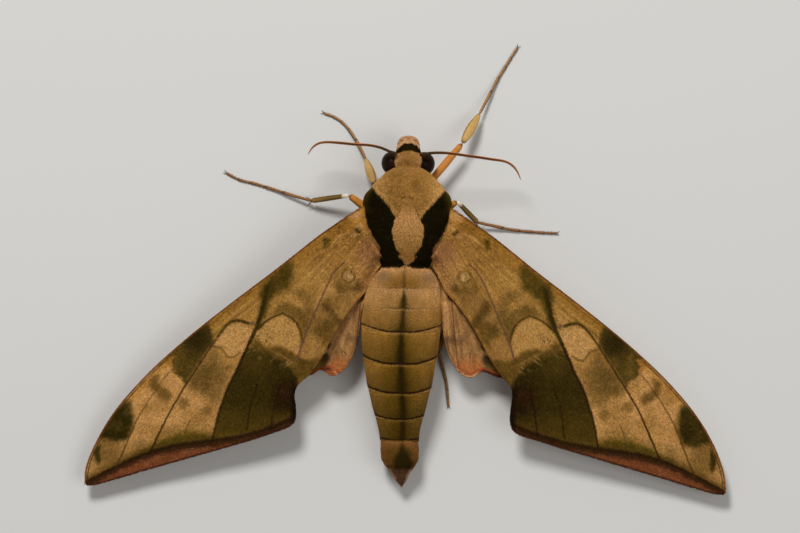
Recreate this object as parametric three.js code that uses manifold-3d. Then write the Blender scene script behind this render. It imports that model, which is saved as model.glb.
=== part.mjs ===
// Hawk moth at rest with its wings spread flat, a still life-size model.
// Millimetres: +X is the moth's right, +Y its head, +Z up, and the ground is Z = 0.
// The origin lies on the ground under the waist, close to the middle of the whole outline.
import * as THREE from "three";
import { mergeVertices } from "three/addons/utils/BufferGeometryUtils.js";
import Module from "manifold-3d";

const wasm = await Module();
wasm.setup();

// ---- Driving dimensions -------------------------------------------------------------------
const GAP = 0.3; // clearance between neighbouring pieces
const JOINT_GAP = 0.12; // clearance between the lengths of one leg
const WING_THICKNESS = 0.6;
const WING_ROOT = { x: 5.5, y: 4.0 }; // where the wing's height is measured from
const WING_SPAN = 51.5; // from the root to the forewing's apex
const WING_AXIS = { x: 0.751, y: -0.66 }; // from the root to the apex
const ROOT_HEIGHT = 8.6;
const APEX_HEIGHT = 2.9;
const DIHEDRAL_CURVE = 1.5; // the wing drops fast near the root and then levels out
const CAMBER = 0.9;
const CAMBER_CREST = 5.0; // behind the wing's axis
const CAMBER_HALF_CHORD = 12.0;
const HINDWING_DROP = 1.3; // below the forewing's surface
const ANAL_DROP = 0.12; // extra drop for each mm behind the line below
const ANAL_LINE = -6.0;
const SWEEP = THREE.MathUtils.degToRad(0.8); // the right wings are this much further forward
const ABDOMEN_BEND = -0.65; // how far the abdomen's middle lies to the left
const SQUARENESS = 2.2; // superellipse power of the body's sections
const BODY_SIDES = 20;
const LEG_SIDES = 8;
const ANTENNA_RADIUS = 0.27;
const SOLE = 0.24; // height of a foot's centre line where it lies on the ground
const FOOT_RADIUS = 0.29; // more than SOLE, so the ground cuts a flat under the foot

// ---- Colours -----------------------------------------------------------------------------
const coat = (name, colour, roughness = 0.9) =>
  new THREE.MeshStandardMaterial({ name, color: colour, roughness, metalness: 0 });
const TAN = coat("tan_coat", 0xa87f4a);
const OLIVE = coat("olive_coat", 0x1f1a08);
const ABDOMEN = coat("abdomen_coat", 0x8d6f35);
const WING_TAN = coat("wing_scales", 0x9c7440, 0.8);
const HINDWING_TAN = coat("hindwing_scales", 0xa9774c, 0.8);
const EYE = coat("eye", 0x2a130b, 0.25);
const LEG = coat("leg_scales", 0xa36a2c, 0.7);
const FEELER = coat("antenna", 0x5b3f1e, 0.7);

// ---- Solids ------------------------------------------------------------------------------
// A closed geometry as a manifold-3d solid.
function solid(geometry) {
  const bare = geometry.clone();
  bare.deleteAttribute("normal");
  bare.deleteAttribute("uv");
  const merged = mergeVertices(bare, 1e-4);
  return new wasm.Manifold(
    new wasm.Mesh({
      numProp: 3,
      vertProperties: new Float32Array(merged.attributes.position.array),
      triVerts: new Uint32Array(merged.index.array),
    }),
  );
}

// A solid's surface as a geometry.
function geometryOf(made) {
  const mesh = made.getMesh();
  const position = new Float32Array(mesh.numVert * 3);
  for (let i = 0; i < mesh.numVert; i++)
    position.set(mesh.vertProperties.subarray(i * mesh.numProp, i * mesh.numProp + 3), i * 3);
  const geometry = new THREE.BufferGeometry();
  geometry.setAttribute("position", new THREE.BufferAttribute(position, 3));
  geometry.setIndex(new THREE.BufferAttribute(new Uint32Array(mesh.triVerts), 1));
  geometry.computeVertexNormals();
  return geometry;
}

// A closed skin over rings of points. Each end is closed by strips across the ring, which join
// its first point to its last, its second to its last but one, and so on.
function loft(rings) {
  const sides = rings[0].length;
  const points = rings.flat();
  const faces = [];
  for (let r = 0; r + 1 < rings.length; r++)
    for (let k = 0; k < sides; k++) {
      const a = r * sides + k;
      const b = r * sides + ((k + 1) % sides);
      faces.push(a, b, b + sides, a, b + sides, a + sides);
    }
  const close = (start, flip) => {
    for (let k = 0; k + 1 < sides / 2; k++) {
      const strip = [start + k, start + k + 1, start + sides - 2 - k, start + sides - 1 - k];
      const [a, b, c, d] = flip ? strip.reverse() : strip;
      faces.push(a, b, c, a, c, d);
    }
  };
  close(0, true);
  close((rings.length - 1) * sides, false);
  const geometry = new THREE.BufferGeometry().setFromPoints(points);
  geometry.setIndex(faces);
  const made = solid(geometry);
  if (made.volume() > 0) return made;
  geometry.setIndex(faces.reverse());
  return solid(geometry);
}

// A box between two corners, used to cut.
const block = (lo, hi) =>
  solid(
    new THREE.BoxGeometry(hi[0] - lo[0], hi[1] - lo[1], hi[2] - lo[2]).translate(
      (hi[0] + lo[0]) / 2,
      (hi[1] + lo[1]) / 2,
      (hi[2] + lo[2]) / 2,
    ),
  );
const REACH = 60; // past every tip of the moth
const UNDERGROUND = block([-REACH, -REACH, -REACH], [REACH, REACH, 0]);
const first = (list) => list[0];
const last = (list) => list[list.length - 1];

// Smooth values between rows of [station, value, value, ...], as a cubic through every row.
function profile(rows) {
  const slope = (i, c) => {
    const before = rows[Math.max(i - 1, 0)];
    const after = rows[Math.min(i + 1, rows.length - 1)];
    return (after[c] - before[c]) / (after[0] - before[0]);
  };
  const falling = first(rows)[0] > last(rows)[0];
  return (station) => {
    let i = 0;
    while (i < rows.length - 2 && (falling ? rows[i + 1][0] > station : rows[i + 1][0] < station)) i++;
    const span = rows[i + 1][0] - rows[i][0];
    const t = THREE.MathUtils.clamp((station - rows[i][0]) / span, 0, 1);
    return first(rows).slice(1).map((_, k) => {
      const c = k + 1;
      const [p, q] = [rows[i][c], rows[i + 1][c]];
      const [m, n] = [slope(i, c) * span, slope(i + 1, c) * span];
      const [t2, t3] = [t * t, t * t * t];
      return p * (2 * t3 - 3 * t2 + 1) + m * (t3 - 2 * t2 + t) + q * (3 * t2 - 2 * t3) + n * (t3 - t2);
    });
  };
}

// A superellipse ring across the body, grown outwards by grow.
function bodyRing({ y, centre = 0, half, top, bottom, lean = 0, grow = 0 }) {
  const middle = (top + bottom) / 2;
  const height = (top - bottom) / 2 + grow;
  const power = 2 / SQUARENESS;
  const bow = (v) => Math.sign(v) * Math.abs(v) ** power;
  return Array.from({ length: BODY_SIDES }, (_, k) => {
    const angle = (2 * Math.PI * (k + 0.5)) / BODY_SIDES;
    const up = bow(Math.sin(angle));
    return new THREE.Vector3(
      centre + (half + grow) * bow(Math.cos(angle)),
      y - lean * up,
      middle + height * up,
    );
  });
}

// ---- Body --------------------------------------------------------------------------------
// [y, half width, top, bottom]
const TRUNK_ROWS = [
  [13.15, 3.3, 9.6, 3.5],
  [12.2, 4.55, 10.7, 2.8],
  [10.6, 5.5, 11.6, 2.0],
  [8.5, 6.15, 12.3, 1.4],
  [6.0, 6.1, 12.6, 1.2],
  [3.5, 5.3, 12.2, 1.3],
  [1.6, 4.5, 11.4, 1.6],
  [0.1, 3.9, 10.7, 2.0],
];
const COLLAR_BACK = 11.5;
const [TRUNK_FRONT, TRUNK_BACK] = [first(TRUNK_ROWS)[0], last(TRUNK_ROWS)[0]];
const COLLAR_RINGS = 4;
const THORAX_RINGS = 10;
const trunkAt = profile(TRUNK_ROWS);
function trunk(front, back, rings, grow = 0) {
  return loft(
    Array.from({ length: rings }, (_, i) => {
      const y = front + ((back - front) * i) / (rings - 1);
      const [half, top, bottom] = trunkAt(y);
      return bodyRing({ y, half, top, bottom, grow });
    }),
  );
}

const ABDOMEN_ROWS = [
  [0.1, 3.9, 10.5, 2.2],
  [-2.4, 5.1, 11.0, 1.5],
  [-5.2, 5.5, 11.1, 1.1],
  [-8.5, 5.45, 10.7, 0.9],
  [-12.9, 4.9, 9.8, 0.8],
  [-16.9, 4.25, 8.8, 0.7],
  [-20.5, 3.35, 7.7, 0.7],
  [-23.4, 2.65, 6.7, 0.8],
  [-25.6, 2.8, 6.2, 0.9],
  [-27.2, 1.9, 5.1, 1.3],
  [-28.6, 1.1, 4.1, 1.8],
  [-29.6, 0.3, 3.2, 2.4],
];
// Where each segment's hind edge crosses the back, and how much further forward it is on the flanks.
const SEGMENT_EDGE_ROWS = [
  [0.1, 0.0],
  [-2.4, 0.3],
  [-5.2, 0.7],
  [-8.5, 1.3],
  [-12.9, 1.15],
  [-16.9, 0.85],
  [-20.5, 0.6],
  [-23.4, 0.15],
  [-27.0, 0.0],
  [-29.6, 0.0],
];
const SEGMENT_STEP = 0.12; // the hind edge of a segment stands out by this
const RINGS_PER_SEGMENT = 3;
const CLEARANCE_RINGS = 16;
const SEGMENT_EDGES = SEGMENT_EDGE_ROWS.map(([y]) => y);
const abdomenAt = profile(ABDOMEN_ROWS);
const leanAt = profile(SEGMENT_EDGE_ROWS);
const ABDOMEN_TIP = last(ABDOMEN_ROWS)[0];
// A ring whose top is at y, and whose flanks are further forward.
function abdomenRing(y, grow = 0) {
  const [lean] = leanAt(y);
  const flank = y + lean;
  const [half, top, bottom] = abdomenAt(flank);
  const centre = ABDOMEN_BEND * Math.sin(Math.PI * THREE.MathUtils.clamp(y / ABDOMEN_TIP, 0, 1));
  return bodyRing({ y: flank, centre, half, top, bottom, lean, grow });
}
function abdomenSegment(front, back) {
  const from = front - (front === first(SEGMENT_EDGES) ? GAP : GAP / 2);
  const to = back + (back === last(SEGMENT_EDGES) ? 0 : GAP / 2);
  return loft(
    Array.from({ length: RINGS_PER_SEGMENT + 1 }, (_, i) => {
      const t = i / RINGS_PER_SEGMENT;
      return abdomenRing(from + (to - from) * t, SEGMENT_STEP * (t - 1));
    }),
  );
}

// The trunk and abdomen with their clearance, cut out of the wings and legs that meet them.
const abdomenRings = Array.from({ length: CLEARANCE_RINGS }, (_, i) =>
  abdomenRing((ABDOMEN_TIP * i) / (CLEARANCE_RINGS - 1), GAP),
);
const grownTrunk = trunk(TRUNK_FRONT, TRUNK_BACK - GAP / 2, THORAX_RINGS + 2, GAP);
const BODY_CLEARANCE = grownTrunk.add(loft(abdomenRings));

// ---- Head --------------------------------------------------------------------------------
const HEAD_ROWS = [
  [13.5, 2.3, 8.8, 3.9],
  [14.7, 2.65, 9.4, 3.4],
  [15.8, 2.45, 9.3, 3.3],
  [16.7, 1.95, 8.5, 3.8],
  [17.3, 1.2, 7.6, 4.6],
];
const [HEAD_BACK, HEAD_FRONT] = [first(HEAD_ROWS)[0], last(HEAD_ROWS)[0]];
const SKULL_RINGS = 7;
const EYE_AT = { x: 2.15, y: 14.9, z: 6.3 };
const EYE_RADII = { x: 1.5, y: 1.42, z: 1.75 };
const PALP_AT = { x: 0.9, y: 17.0, z: 5.4 };
const PALP_RADII = { x: 0.85, y: 1.45, z: 1.9 };
const BALL_FACETS = [12, 8];
const headAt = profile(HEAD_ROWS);
function skull(front, back, grow = 0) {
  return loft(
    Array.from({ length: SKULL_RINGS }, (_, i) => {
      const y = back + ((front - back) * i) / (SKULL_RINGS - 1);
      const [half, top, bottom] = headAt(y);
      return bodyRing({ y, half, top, bottom, grow });
    }),
  );
}
const ellipsoid = (at, radii, side, grow = 0) =>
  solid(
    new THREE.SphereGeometry(1, ...BALL_FACETS)
      .scale(radii.x + grow, radii.y + grow, radii.z + grow)
      .translate(side * at.x, at.y, at.z),
  );
const eye = (side) => ellipsoid(EYE_AT, EYE_RADII, side);
const eyeSocket = (side) => ellipsoid(EYE_AT, EYE_RADII, side, GAP);
const head = () => skull(HEAD_FRONT, HEAD_BACK).subtract(eyeSocket(-1)).subtract(eyeSocket(1));
const HEAD_CLEARANCE = skull(HEAD_FRONT + GAP, HEAD_BACK - GAP, GAP);
// The labial palps stand side by side, pressed against the face.
function palp(side) {
  const others = [-side * REACH, side * (GAP / 2)].sort((a, b) => a - b);
  const otherHalf = block([others[0], -REACH, 0], [others[1], REACH, REACH]);
  return ellipsoid(PALP_AT, PALP_RADII, side)
    .subtract(otherHalf)
    .subtract(HEAD_CLEARANCE)
    .subtract(eyeSocket(side));
}

// ---- Tubes: feelers and legs ---------------------------------------------------------------
// A tube of round or flattened section through points [x, y, z, half width, half height].
function tube(points, rings) {
  const curve = new THREE.CatmullRomCurve3(
    points.map(([x, y, z]) => new THREE.Vector3(x, y, z)),
    false,
    "centripetal",
  );
  const up = new THREE.Vector3(0, 0, 1);
  const spans = points.length - 1;
  return loft(
    Array.from({ length: rings }, (_, i) => {
      const t = i / (rings - 1);
      const centre = curve.getPoint(t);
      const along = curve.getTangent(t);
      const across = new THREE.Vector3().crossVectors(along, up).normalize();
      const over = new THREE.Vector3().crossVectors(across, along);
      const k = Math.min(Math.floor(t * spans), spans - 1);
      const part = t * spans - k;
      const [wide, high] = [3, 4].map((c) => points[k][c] + (points[k + 1][c] - points[k][c]) * part);
      return Array.from({ length: LEG_SIDES }, (_, s) => {
        const angle = (2 * Math.PI * (s + 0.5)) / LEG_SIDES;
        return centre
          .clone()
          .addScaledVector(across, wide * Math.cos(angle))
          .addScaledVector(over, high * Math.sin(angle));
      });
    }),
  );
}
const round = (points, radius) => points.map((p) => [...p, radius, radius]);

const ANTENNAE = {
  left: [
    [-1.75, 16.2, 9.3], [-3.3, 16.8, 9.4], [-5.3, 17.1, 9.1], [-7.4, 17.25, 8.6], [-9.4, 17.35, 8.0],
    [-11.4, 17.35, 7.4], [-12.4, 17.1, 7.1], [-13.15, 16.5, 6.8], [-13.8, 15.5, 6.3],
  ],
  right: [
    [1.75, 16.1, 9.3], [3.0, 16.35, 9.5], [4.6, 16.4, 9.4], [6.5, 16.15, 9.0], [8.6, 15.75, 8.5],
    [11.2, 15.4, 7.8], [13.3, 15.1, 7.2], [14.2, 14.65, 6.9], [14.9, 13.9, 6.6], [15.55, 12.6, 6.1],
  ],
};
const ANTENNA_RINGS = 24;
const antenna = (side) =>
  tube(round(ANTENNAE[side], ANTENNA_RADIUS), ANTENNA_RINGS).subtract(HEAD_CLEARANCE);

// Each leg: hip, knee and ankle [x, y, z], then the points of its foot, which ends flat on the ground.
const LEGS = {
  foreleg_left: {
    hip: [-2.6, 9.8, 1.9], knee: [-4.5, 11.7, 3.1], ankle: [-5.9, 15.3, 1.7],
    foot: [
      [-6.95, 17.3, 0.95], [-8.05, 19.0, 0.4], [-9.15, 20.2, SOLE], [-10.4, 21.0, SOLE], [-11.8, 21.5, SOLE],
    ],
    femur: 0.5, tibia: [0.62, 0.42],
  },
  foreleg_right: {
    hip: [2.6, 11.6, 3.6], knee: [7.35, 17.5, 3.6], ankle: [9.75, 21.8, 1.7],
    foot: [
      [11.1, 24.5, 0.9], [12.2, 26.7, 0.4], [13.5, 28.9, SOLE], [14.1, 29.9, SOLE], [14.85, 31.1, SOLE],
    ],
    femur: 0.52, tibia: [0.66, 0.42],
  },
  midleg_left: {
    hip: [-4.2, 7.4, 3.4], knee: [-7.95, 10.05, 4.3], ankle: [-13.25, 9.3, 1.5],
    foot: [
      [-15.9, 10.0, 0.85], [-18.4, 10.75, 0.4], [-21.0, 11.5, SOLE], [-23.3, 12.05, SOLE],
      [-25.15, 12.95, SOLE],
    ],
    femur: 0.55, tibia: [0.42, 0.42],
  },
  midleg_right: {
    hip: [4.2, 7.6, 3.4], knee: [6.75, 9.5, 4.3], ankle: [9.75, 6.75, 1.5],
    foot: [
      [12.4, 6.25, 0.85], [14.6, 5.85, 0.4], [17.0, 5.65, SOLE], [18.8, 5.55, SOLE], [20.75, 5.5, SOLE],
    ],
    femur: 0.5, tibia: [0.42, 0.42],
  },
  hindleg_left: {
    hip: [-3.0, 3.2, 3.0], knee: [-7.0, -1.6, 4.0], ankle: [-7.6, -8.4, 1.4],
    foot: [
      [-8.0, -10.0, 0.8], [-8.4, -11.2, 0.35], [-8.9, -12.2, SOLE], [-9.3, -12.9, SOLE], [-9.7, -13.7, SOLE],
    ],
    femur: 0.5, tibia: [0.42, 0.42],
  },
  hindleg_right: {
    hip: [3.0, 3.2, 3.0], knee: [6.9, -2.2, 4.0], ankle: [4.75, -11.2, 1.4],
    foot: [
      [5.25, -13.0, 0.8], [5.7, -14.6, 0.35], [5.95, -15.9, SOLE], [6.1, -17.3, SOLE], [6.25, -18.75, SOLE],
    ],
    femur: 0.5, tibia: [0.42, 0.42],
  },
};
const LEG_RINGS = { femur: 5, tibia: 6, tarsus: 11 };
const FEMUR_ENDS = 0.8; // the width of a femur's ends, of its middle
const TIBIA_ENDS = { wide: 0.6, high: 0.8 }; // and of a tibia's
const KNEE_ROOM = 0.6; // a femur stops short of the knee by this much of its radius
const towards = (from, to, distance) => {
  const start = new THREE.Vector3(...from);
  const step = new THREE.Vector3(...to).sub(start);
  return start.addScaledVector(step, distance / step.length()).toArray();
};
const halfway = (a, b) => a.map((v, i) => (v + b[i]) / 2);
// The three lengths of one leg, hip to foot.
function legParts({ hip, knee, ankle, foot, femur, tibia: [wide, high] }) {
  const femurEnd = femur * FEMUR_ENDS;
  const tibiaEnd = [wide * TIBIA_ENDS.wide, high * TIBIA_ENDS.high];
  const femurPoints = [
    [...hip, femurEnd, femurEnd],
    [...halfway(hip, knee), femur, femur],
    [...towards(knee, hip, femur * KNEE_ROOM + JOINT_GAP), femurEnd, femurEnd],
  ];
  const tibiaPoints = [
    [...towards(knee, ankle, JOINT_GAP), ...tibiaEnd],
    [...halfway(knee, ankle), wide, high],
    [...towards(ankle, knee, JOINT_GAP), ...tibiaEnd],
  ];
  const tarsusPoints = round([towards(ankle, foot[0], JOINT_GAP), ...foot], FOOT_RADIUS);
  return {
    femur: tube(femurPoints, LEG_RINGS.femur).subtract(BODY_CLEARANCE),
    tibia: tube(tibiaPoints, LEG_RINGS.tibia).subtract(BODY_CLEARANCE),
    tarsus: tube(tarsusPoints, LEG_RINGS.tarsus).subtract(UNDERGROUND),
  };
}

// ---- Wings -------------------------------------------------------------------------------
// Height of the forewing's middle surface, in the right wing's own x and y.
function wingHeight(x, y) {
  const [dx, dy] = [x - WING_ROOT.x, y - WING_ROOT.y];
  const along = THREE.MathUtils.clamp((dx * WING_AXIS.x + dy * WING_AXIS.y) / WING_SPAN, 0, 1);
  const behind = dx * WING_AXIS.y - dy * WING_AXIS.x;
  const drop = (1 - along) ** DIHEDRAL_CURVE;
  const arch = 1 - ((behind - CAMBER_CREST) / CAMBER_HALF_CHORD) ** 2;
  return APEX_HEIGHT + (ROOT_HEIGHT - APEX_HEIGHT) * drop + CAMBER * (1 - along) * Math.max(arch, -1);
}
const hindwingHeight = (x, y) =>
  wingHeight(x, y) - HINDWING_DROP - ANAL_DROP * Math.max(0, ANAL_LINE - y);

const FOREWING = {
  lead: [
    [6.2, 8.4], [11.4, 5.0], [17.8, 0.0], [24.5, -5.1], [30.6, -10.0], [36.1, -15.1],
    [40.4, -20.2], [43.1, -25.0], [44.1, -28.0], [44.2, -30.0],
  ],
  trail: [
    [3.6, 1.0], [5.9, -3.3], [8.05, -5.9], [9.95, -8.9], [11.6, -12.0], [13.3, -14.4], [14.7, -15.9],
    [14.95, -17.2], [14.75, -18.9], [14.75, -20.5], [15.3, -21.5], [19.0, -22.75], [27.5, -25.4],
    [36.0, -27.95], [42.0, -29.75], [44.2, -30.0],
  ],
  columns: 26,
  rows: 7,
  height: wingHeight,
};
const HINDWING = {
  lead: [[5.5, 3.0], [14.0, -2.2], [21.0, -7.0], [25.8, -10.8], [27.6, -13.4]],
  trail: [
    [3.4, 0.0], [4.8, -5.0], [5.3, -9.4], [5.95, -11.6], [7.6, -14.4], [9.1, -14.9], [10.6, -14.0],
    [12.9, -14.8], [16.5, -14.7], [20.5, -15.3], [24.8, -15.2], [27.6, -13.4],
  ],
  columns: 18,
  rows: 5,
  height: hindwingHeight,
};
const APEX_OPEN = 0.985; // the last ring stops here, so the apex keeps its thickness
// A thin slab between a leading and a trailing edge that meet at the apex, lifted to its height.
function wing({ lead, trail, columns, rows, height }, side) {
  const edge = (points) =>
    new THREE.CatmullRomCurve3(points.map(([x, y]) => new THREE.Vector3(x, y, 0)), false, "centripetal");
  const [front, back] = [edge(lead), edge(trail)];
  const ring = (u, lift) => {
    const [a, b] = [front.getPointAt(u), back.getPointAt(u)];
    return Array.from({ length: rows + 1 }, (_, j) => {
      const p = a.clone().lerp(b, j / rows);
      p.z = height(p.x, p.y) + lift;
      return p;
    });
  };
  const rings = Array.from({ length: columns + 1 }, (_, i) => {
    const u = (i / columns) * APEX_OPEN;
    return [...ring(u, WING_THICKNESS / 2), ...ring(u, -WING_THICKNESS / 2).reverse()];
  });
  const geometry = geometryOf(loft(rings))
    .translate(-WING_ROOT.x, -WING_ROOT.y, 0)
    .rotateZ(side * SWEEP)
    .translate(WING_ROOT.x, WING_ROOT.y, 0);
  if (side < 0) {
    geometry.scale(-1, 1, 1);
    geometry.index.array.reverse();
  }
  return solid(geometry).subtract(BODY_CLEARANCE);
}
// ---- Shoulder covers ---------------------------------------------------------------------
// Plan of the right shoulder cover, from the shoulder along the back to the waist.
const TEGULA_PLAN = [
  [4.9, 10.9], [3.2, 9.0], [1.9, 7.5], [2.3, 5.2], [2.35, 3.2], [1.7, 1.9], [8.0, 1.9], [8.0, 10.9],
];
const TEGULA_MIDDLE = { x: 5.2, y: 6.2 };
const TEGULA_FLOOR = 8.9;
const TEGULA_DEPTH = 10; // well past the top of the back
function tegulaPrism(side, inset = 0) {
  const outline = new THREE.Shape(
    TEGULA_PLAN.map(([x, y]) => {
      const [dx, dy] = [x - TEGULA_MIDDLE.x, y - TEGULA_MIDDLE.y];
      const keep = 1 - inset / Math.hypot(dx, dy);
      return new THREE.Vector2(side * (TEGULA_MIDDLE.x + dx * keep), TEGULA_MIDDLE.y + dy * keep);
    }),
  );
  const prism = new THREE.ExtrudeGeometry(outline, { depth: TEGULA_DEPTH, bevelEnabled: false });
  return solid(prism.translate(0, 0, TEGULA_FLOOR + inset));
}

// ---- Assembly ----------------------------------------------------------------------------
const moth = new THREE.Group();
function add(name, made, material) {
  const mesh = new THREE.Mesh(geometryOf(made), material);
  mesh.name = name;
  moth.add(mesh);
}
const SIDES = { left: -1, right: 1 };

const thorax = trunk(COLLAR_BACK - GAP / 2, TRUNK_BACK, THORAX_RINGS);
add("head", head(), TAN);
add("collar", trunk(TRUNK_FRONT, COLLAR_BACK + GAP / 2, COLLAR_RINGS), TAN);
add("thorax", thorax.subtract(tegulaPrism(-1)).subtract(tegulaPrism(1)), TAN);
for (let i = 0; i + 1 < SEGMENT_EDGES.length; i++)
  add(`abdomen_${i + 1}`, abdomenSegment(SEGMENT_EDGES[i], SEGMENT_EDGES[i + 1]), ABDOMEN);

for (const [name, side] of Object.entries(SIDES)) {
  add(`eye_${name}`, eye(side), EYE);
  add(`palp_${name}`, palp(side), TAN);
  add(`antenna_${name}`, antenna(name), FEELER);
  add(`tegula_${name}`, thorax.intersect(tegulaPrism(side, GAP)), OLIVE);
  add(`forewing_${name}`, wing(FOREWING, side), WING_TAN);
  add(`hindwing_${name}`, wing(HINDWING, side), HINDWING_TAN);
}
for (const [leg, shape] of Object.entries(LEGS))
  for (const [part, made] of Object.entries(legParts(shape))) add(`${leg}_${part}`, made, LEG);

export default moth;
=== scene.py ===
"""Looks for the hawk moth: a life-size model that rests on a pale floor, seen from straight above.

Shapes are worked out in millimetres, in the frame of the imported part: +x is the moth's right,
+y its head, +z up, with the floor at z = 0. Every mesh is made in metres by make_piece().
Colours are written as sRGB from 0 to 255, as they look in the photograph.
"""

import math

import bpy
import numpy as np
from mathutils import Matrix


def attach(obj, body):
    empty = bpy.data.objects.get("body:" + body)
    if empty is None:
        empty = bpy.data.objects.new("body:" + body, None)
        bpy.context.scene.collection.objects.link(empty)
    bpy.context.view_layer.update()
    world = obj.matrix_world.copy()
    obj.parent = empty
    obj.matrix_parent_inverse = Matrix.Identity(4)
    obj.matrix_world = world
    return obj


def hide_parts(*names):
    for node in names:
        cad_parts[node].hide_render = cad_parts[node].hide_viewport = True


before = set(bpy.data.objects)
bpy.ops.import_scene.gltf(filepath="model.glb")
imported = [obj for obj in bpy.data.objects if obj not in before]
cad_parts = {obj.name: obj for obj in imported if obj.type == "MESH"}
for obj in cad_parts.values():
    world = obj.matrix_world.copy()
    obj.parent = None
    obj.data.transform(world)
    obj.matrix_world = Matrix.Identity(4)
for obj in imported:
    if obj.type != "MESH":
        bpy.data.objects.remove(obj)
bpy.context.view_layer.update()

MM = 0.001
SIDES = {"left": -1, "right": 1}
UP = np.array([0.0, 0.0, 1.0])
OLIVE_BLACK = (46, 36, 8)
PALE_BUFF = (196, 150, 96)
JOINT_BROWN = (70, 42, 20)
SANDY = (186, 140, 82)
PALE_RIM = (190, 138, 84)


# ---- Numbers along a line, noise and outlines -------------------------------------------------
def fade(low, high, value):
    """0 where the value is below low and 1 where it is above high, and smooth between."""
    part = np.clip((value - low) / (high - low), 0.0, 1.0)
    return part * part * (3.0 - 2.0 * part)


def hermite(part, start, end, start_slope, end_slope):
    square = part * part
    cube = square * part
    return (
        (2 * cube - 3 * square + 1) * start
        + (cube - 2 * square + part) * start_slope
        + (3 * square - 2 * cube) * end
        + (cube - square) * end_slope
    )


def profile(rows):
    """A smooth curve through rows of [place, value, value...], as a function of the place."""
    table = np.array(sorted(rows), float)
    place, values = table[:, 0], table[:, 1:]
    slopes = np.gradient(values, place, axis=0)

    def at(where):
        where = np.clip(np.asarray(where, float), place[0], place[-1])
        index = np.clip(np.searchsorted(place, where) - 1, 0, len(place) - 2)
        gap = (place[index + 1] - place[index])[..., None]
        part = (where - place[index])[..., None] / gap
        found = hermite(
            part, values[index], values[index + 1], slopes[index] * gap, slopes[index + 1] * gap
        )
        return [found[..., k] for k in range(values.shape[1])]

    return at


def unit(vectors):
    return vectors / np.maximum(np.linalg.norm(vectors, axis=-1, keepdims=True), 1e-9)


def sideways(direction):
    """Level, and square to a direction."""
    return unit(np.cross(direction, UP))


def curve(points, count):
    """Even steps along a smooth curve through the points."""
    points = np.array(points, float)
    ends = np.vstack([2 * points[0] - points[1], points, 2 * points[-1] - points[-2]])
    part = np.linspace(0.0, 1.0, 48, endpoint=False)[:, None]
    pieces = []
    for before, start, end, after in zip(ends[:-3], ends[1:-2], ends[2:-1], ends[3:]):
        first = math.sqrt(np.linalg.norm(start - before))
        middle = math.sqrt(np.linalg.norm(end - start))
        last = math.sqrt(np.linalg.norm(after - end))
        leave = (start - before) / first - (end - before) / (first + middle) + (end - start) / middle
        arrive = (end - start) / middle - (after - start) / (middle + last) + (after - end) / last
        pieces.append(hermite(part, start, end, leave * middle, arrive * middle))
    dense = np.vstack(pieces + [points[-1:]])
    steps = np.linalg.norm(np.diff(dense, axis=0), axis=1)
    length = np.concatenate([[0.0], np.cumsum(steps)])
    wanted = np.linspace(0.0, length[-1], count)
    return np.column_stack([np.interp(wanted, length, dense[:, k]) for k in range(dense.shape[1])])


def noise(points, size, seed):
    """Smooth noise from -1 to 1; size is the width of one swell, a number or one for each axis."""
    scaled = np.asarray(points, float) / size + 500.0
    cell = np.floor(scaled).astype(np.int64)
    part = scaled - cell
    part = part * part * (3.0 - 2.0 * part)
    total = np.zeros(len(scaled))
    for corner in np.ndindex(2, 2, 2):
        key = (cell + np.array(corner)) @ np.array([73856093, 19349663, 83492791]) + seed * 9176
        key = ((key ^ (key >> 13)) * 1274126177) & 0x7FFFFFFF
        value = ((key ^ (key >> 16)) & 0xFFFF) / 32767.5 - 1.0
        total += value * np.where(corner, part, 1.0 - part).prod(1)
    return total


def flat(x, y):
    return np.column_stack([x, y, np.zeros(len(x))])


def height_of(line, x):
    """How high a line that runs from left to right is at each x."""
    return np.interp(x, *np.array(line).T)


def fine(line, count):
    """The points of a smooth curve through a line's points."""
    return [tuple(point) for point in curve(line, count)]


def line_distance(x, y, line):
    """How far each place is from a line of straight pieces."""
    best = np.full(len(x), 1e9)
    for (ax, ay), (bx, by) in zip(line[:-1], line[1:]):
        dx, dy = bx - ax, by - ay
        part = np.clip(((x - ax) * dx + (y - ay) * dy) / (dx * dx + dy * dy), 0.0, 1.0)
        best = np.minimum(best, np.hypot(x - ax - part * dx, y - ay - part * dy))
    return best


def inside(x, y, outline):
    """True for the places within a closed outline."""
    crossed = np.zeros(len(x), bool)
    for (ax, ay), (bx, by) in zip(outline, outline[1:] + outline[:1]):
        if ay == by:
            continue
        spans = (ay > y) != (by > y)
        crossed ^= spans & (x < ax + (y - ay) * (bx - ax) / (by - ay))
    return crossed


def patch(x, y, outline, soft):
    """1 inside an outline and 0 outside it, fading over soft millimetres each side of its edge."""
    distance = line_distance(x, y, outline + outline[:1])
    return fade(-soft, soft, np.where(inside(x, y, outline), distance, -distance))


def stroke(x, y, line, width, soft=0.1):
    return 1.0 - fade(width / 2 - soft, width / 2 + soft, line_distance(x, y, line))


def spot(x, y, centre, radius, soft):
    return 1.0 - fade(radius - soft, radius + soft, np.hypot(x - centre[0], y - centre[1]))


def plain(tone, places):
    """The same tone for each of the places."""
    return np.tile(np.array(tone, float), (len(places), 1))


def paint(tones, tone, amount):
    """Lays a tone over the tones already there."""
    tones += (np.array(tone, float) - tones) * np.clip(amount, 0.0, 1.0)[:, None]


def to_linear(tones):
    part = np.clip(tones, 0.0, 255.0) / 255.0
    return np.where(part <= 0.04045, part / 12.92, ((part + 0.055) / 1.055) ** 2.4)


# ---- Meshes ----------------------------------------------------------------------------------
COAT_GAIN = 1.1  # tufts shade each other, so they are painted lighter than the skin


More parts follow.
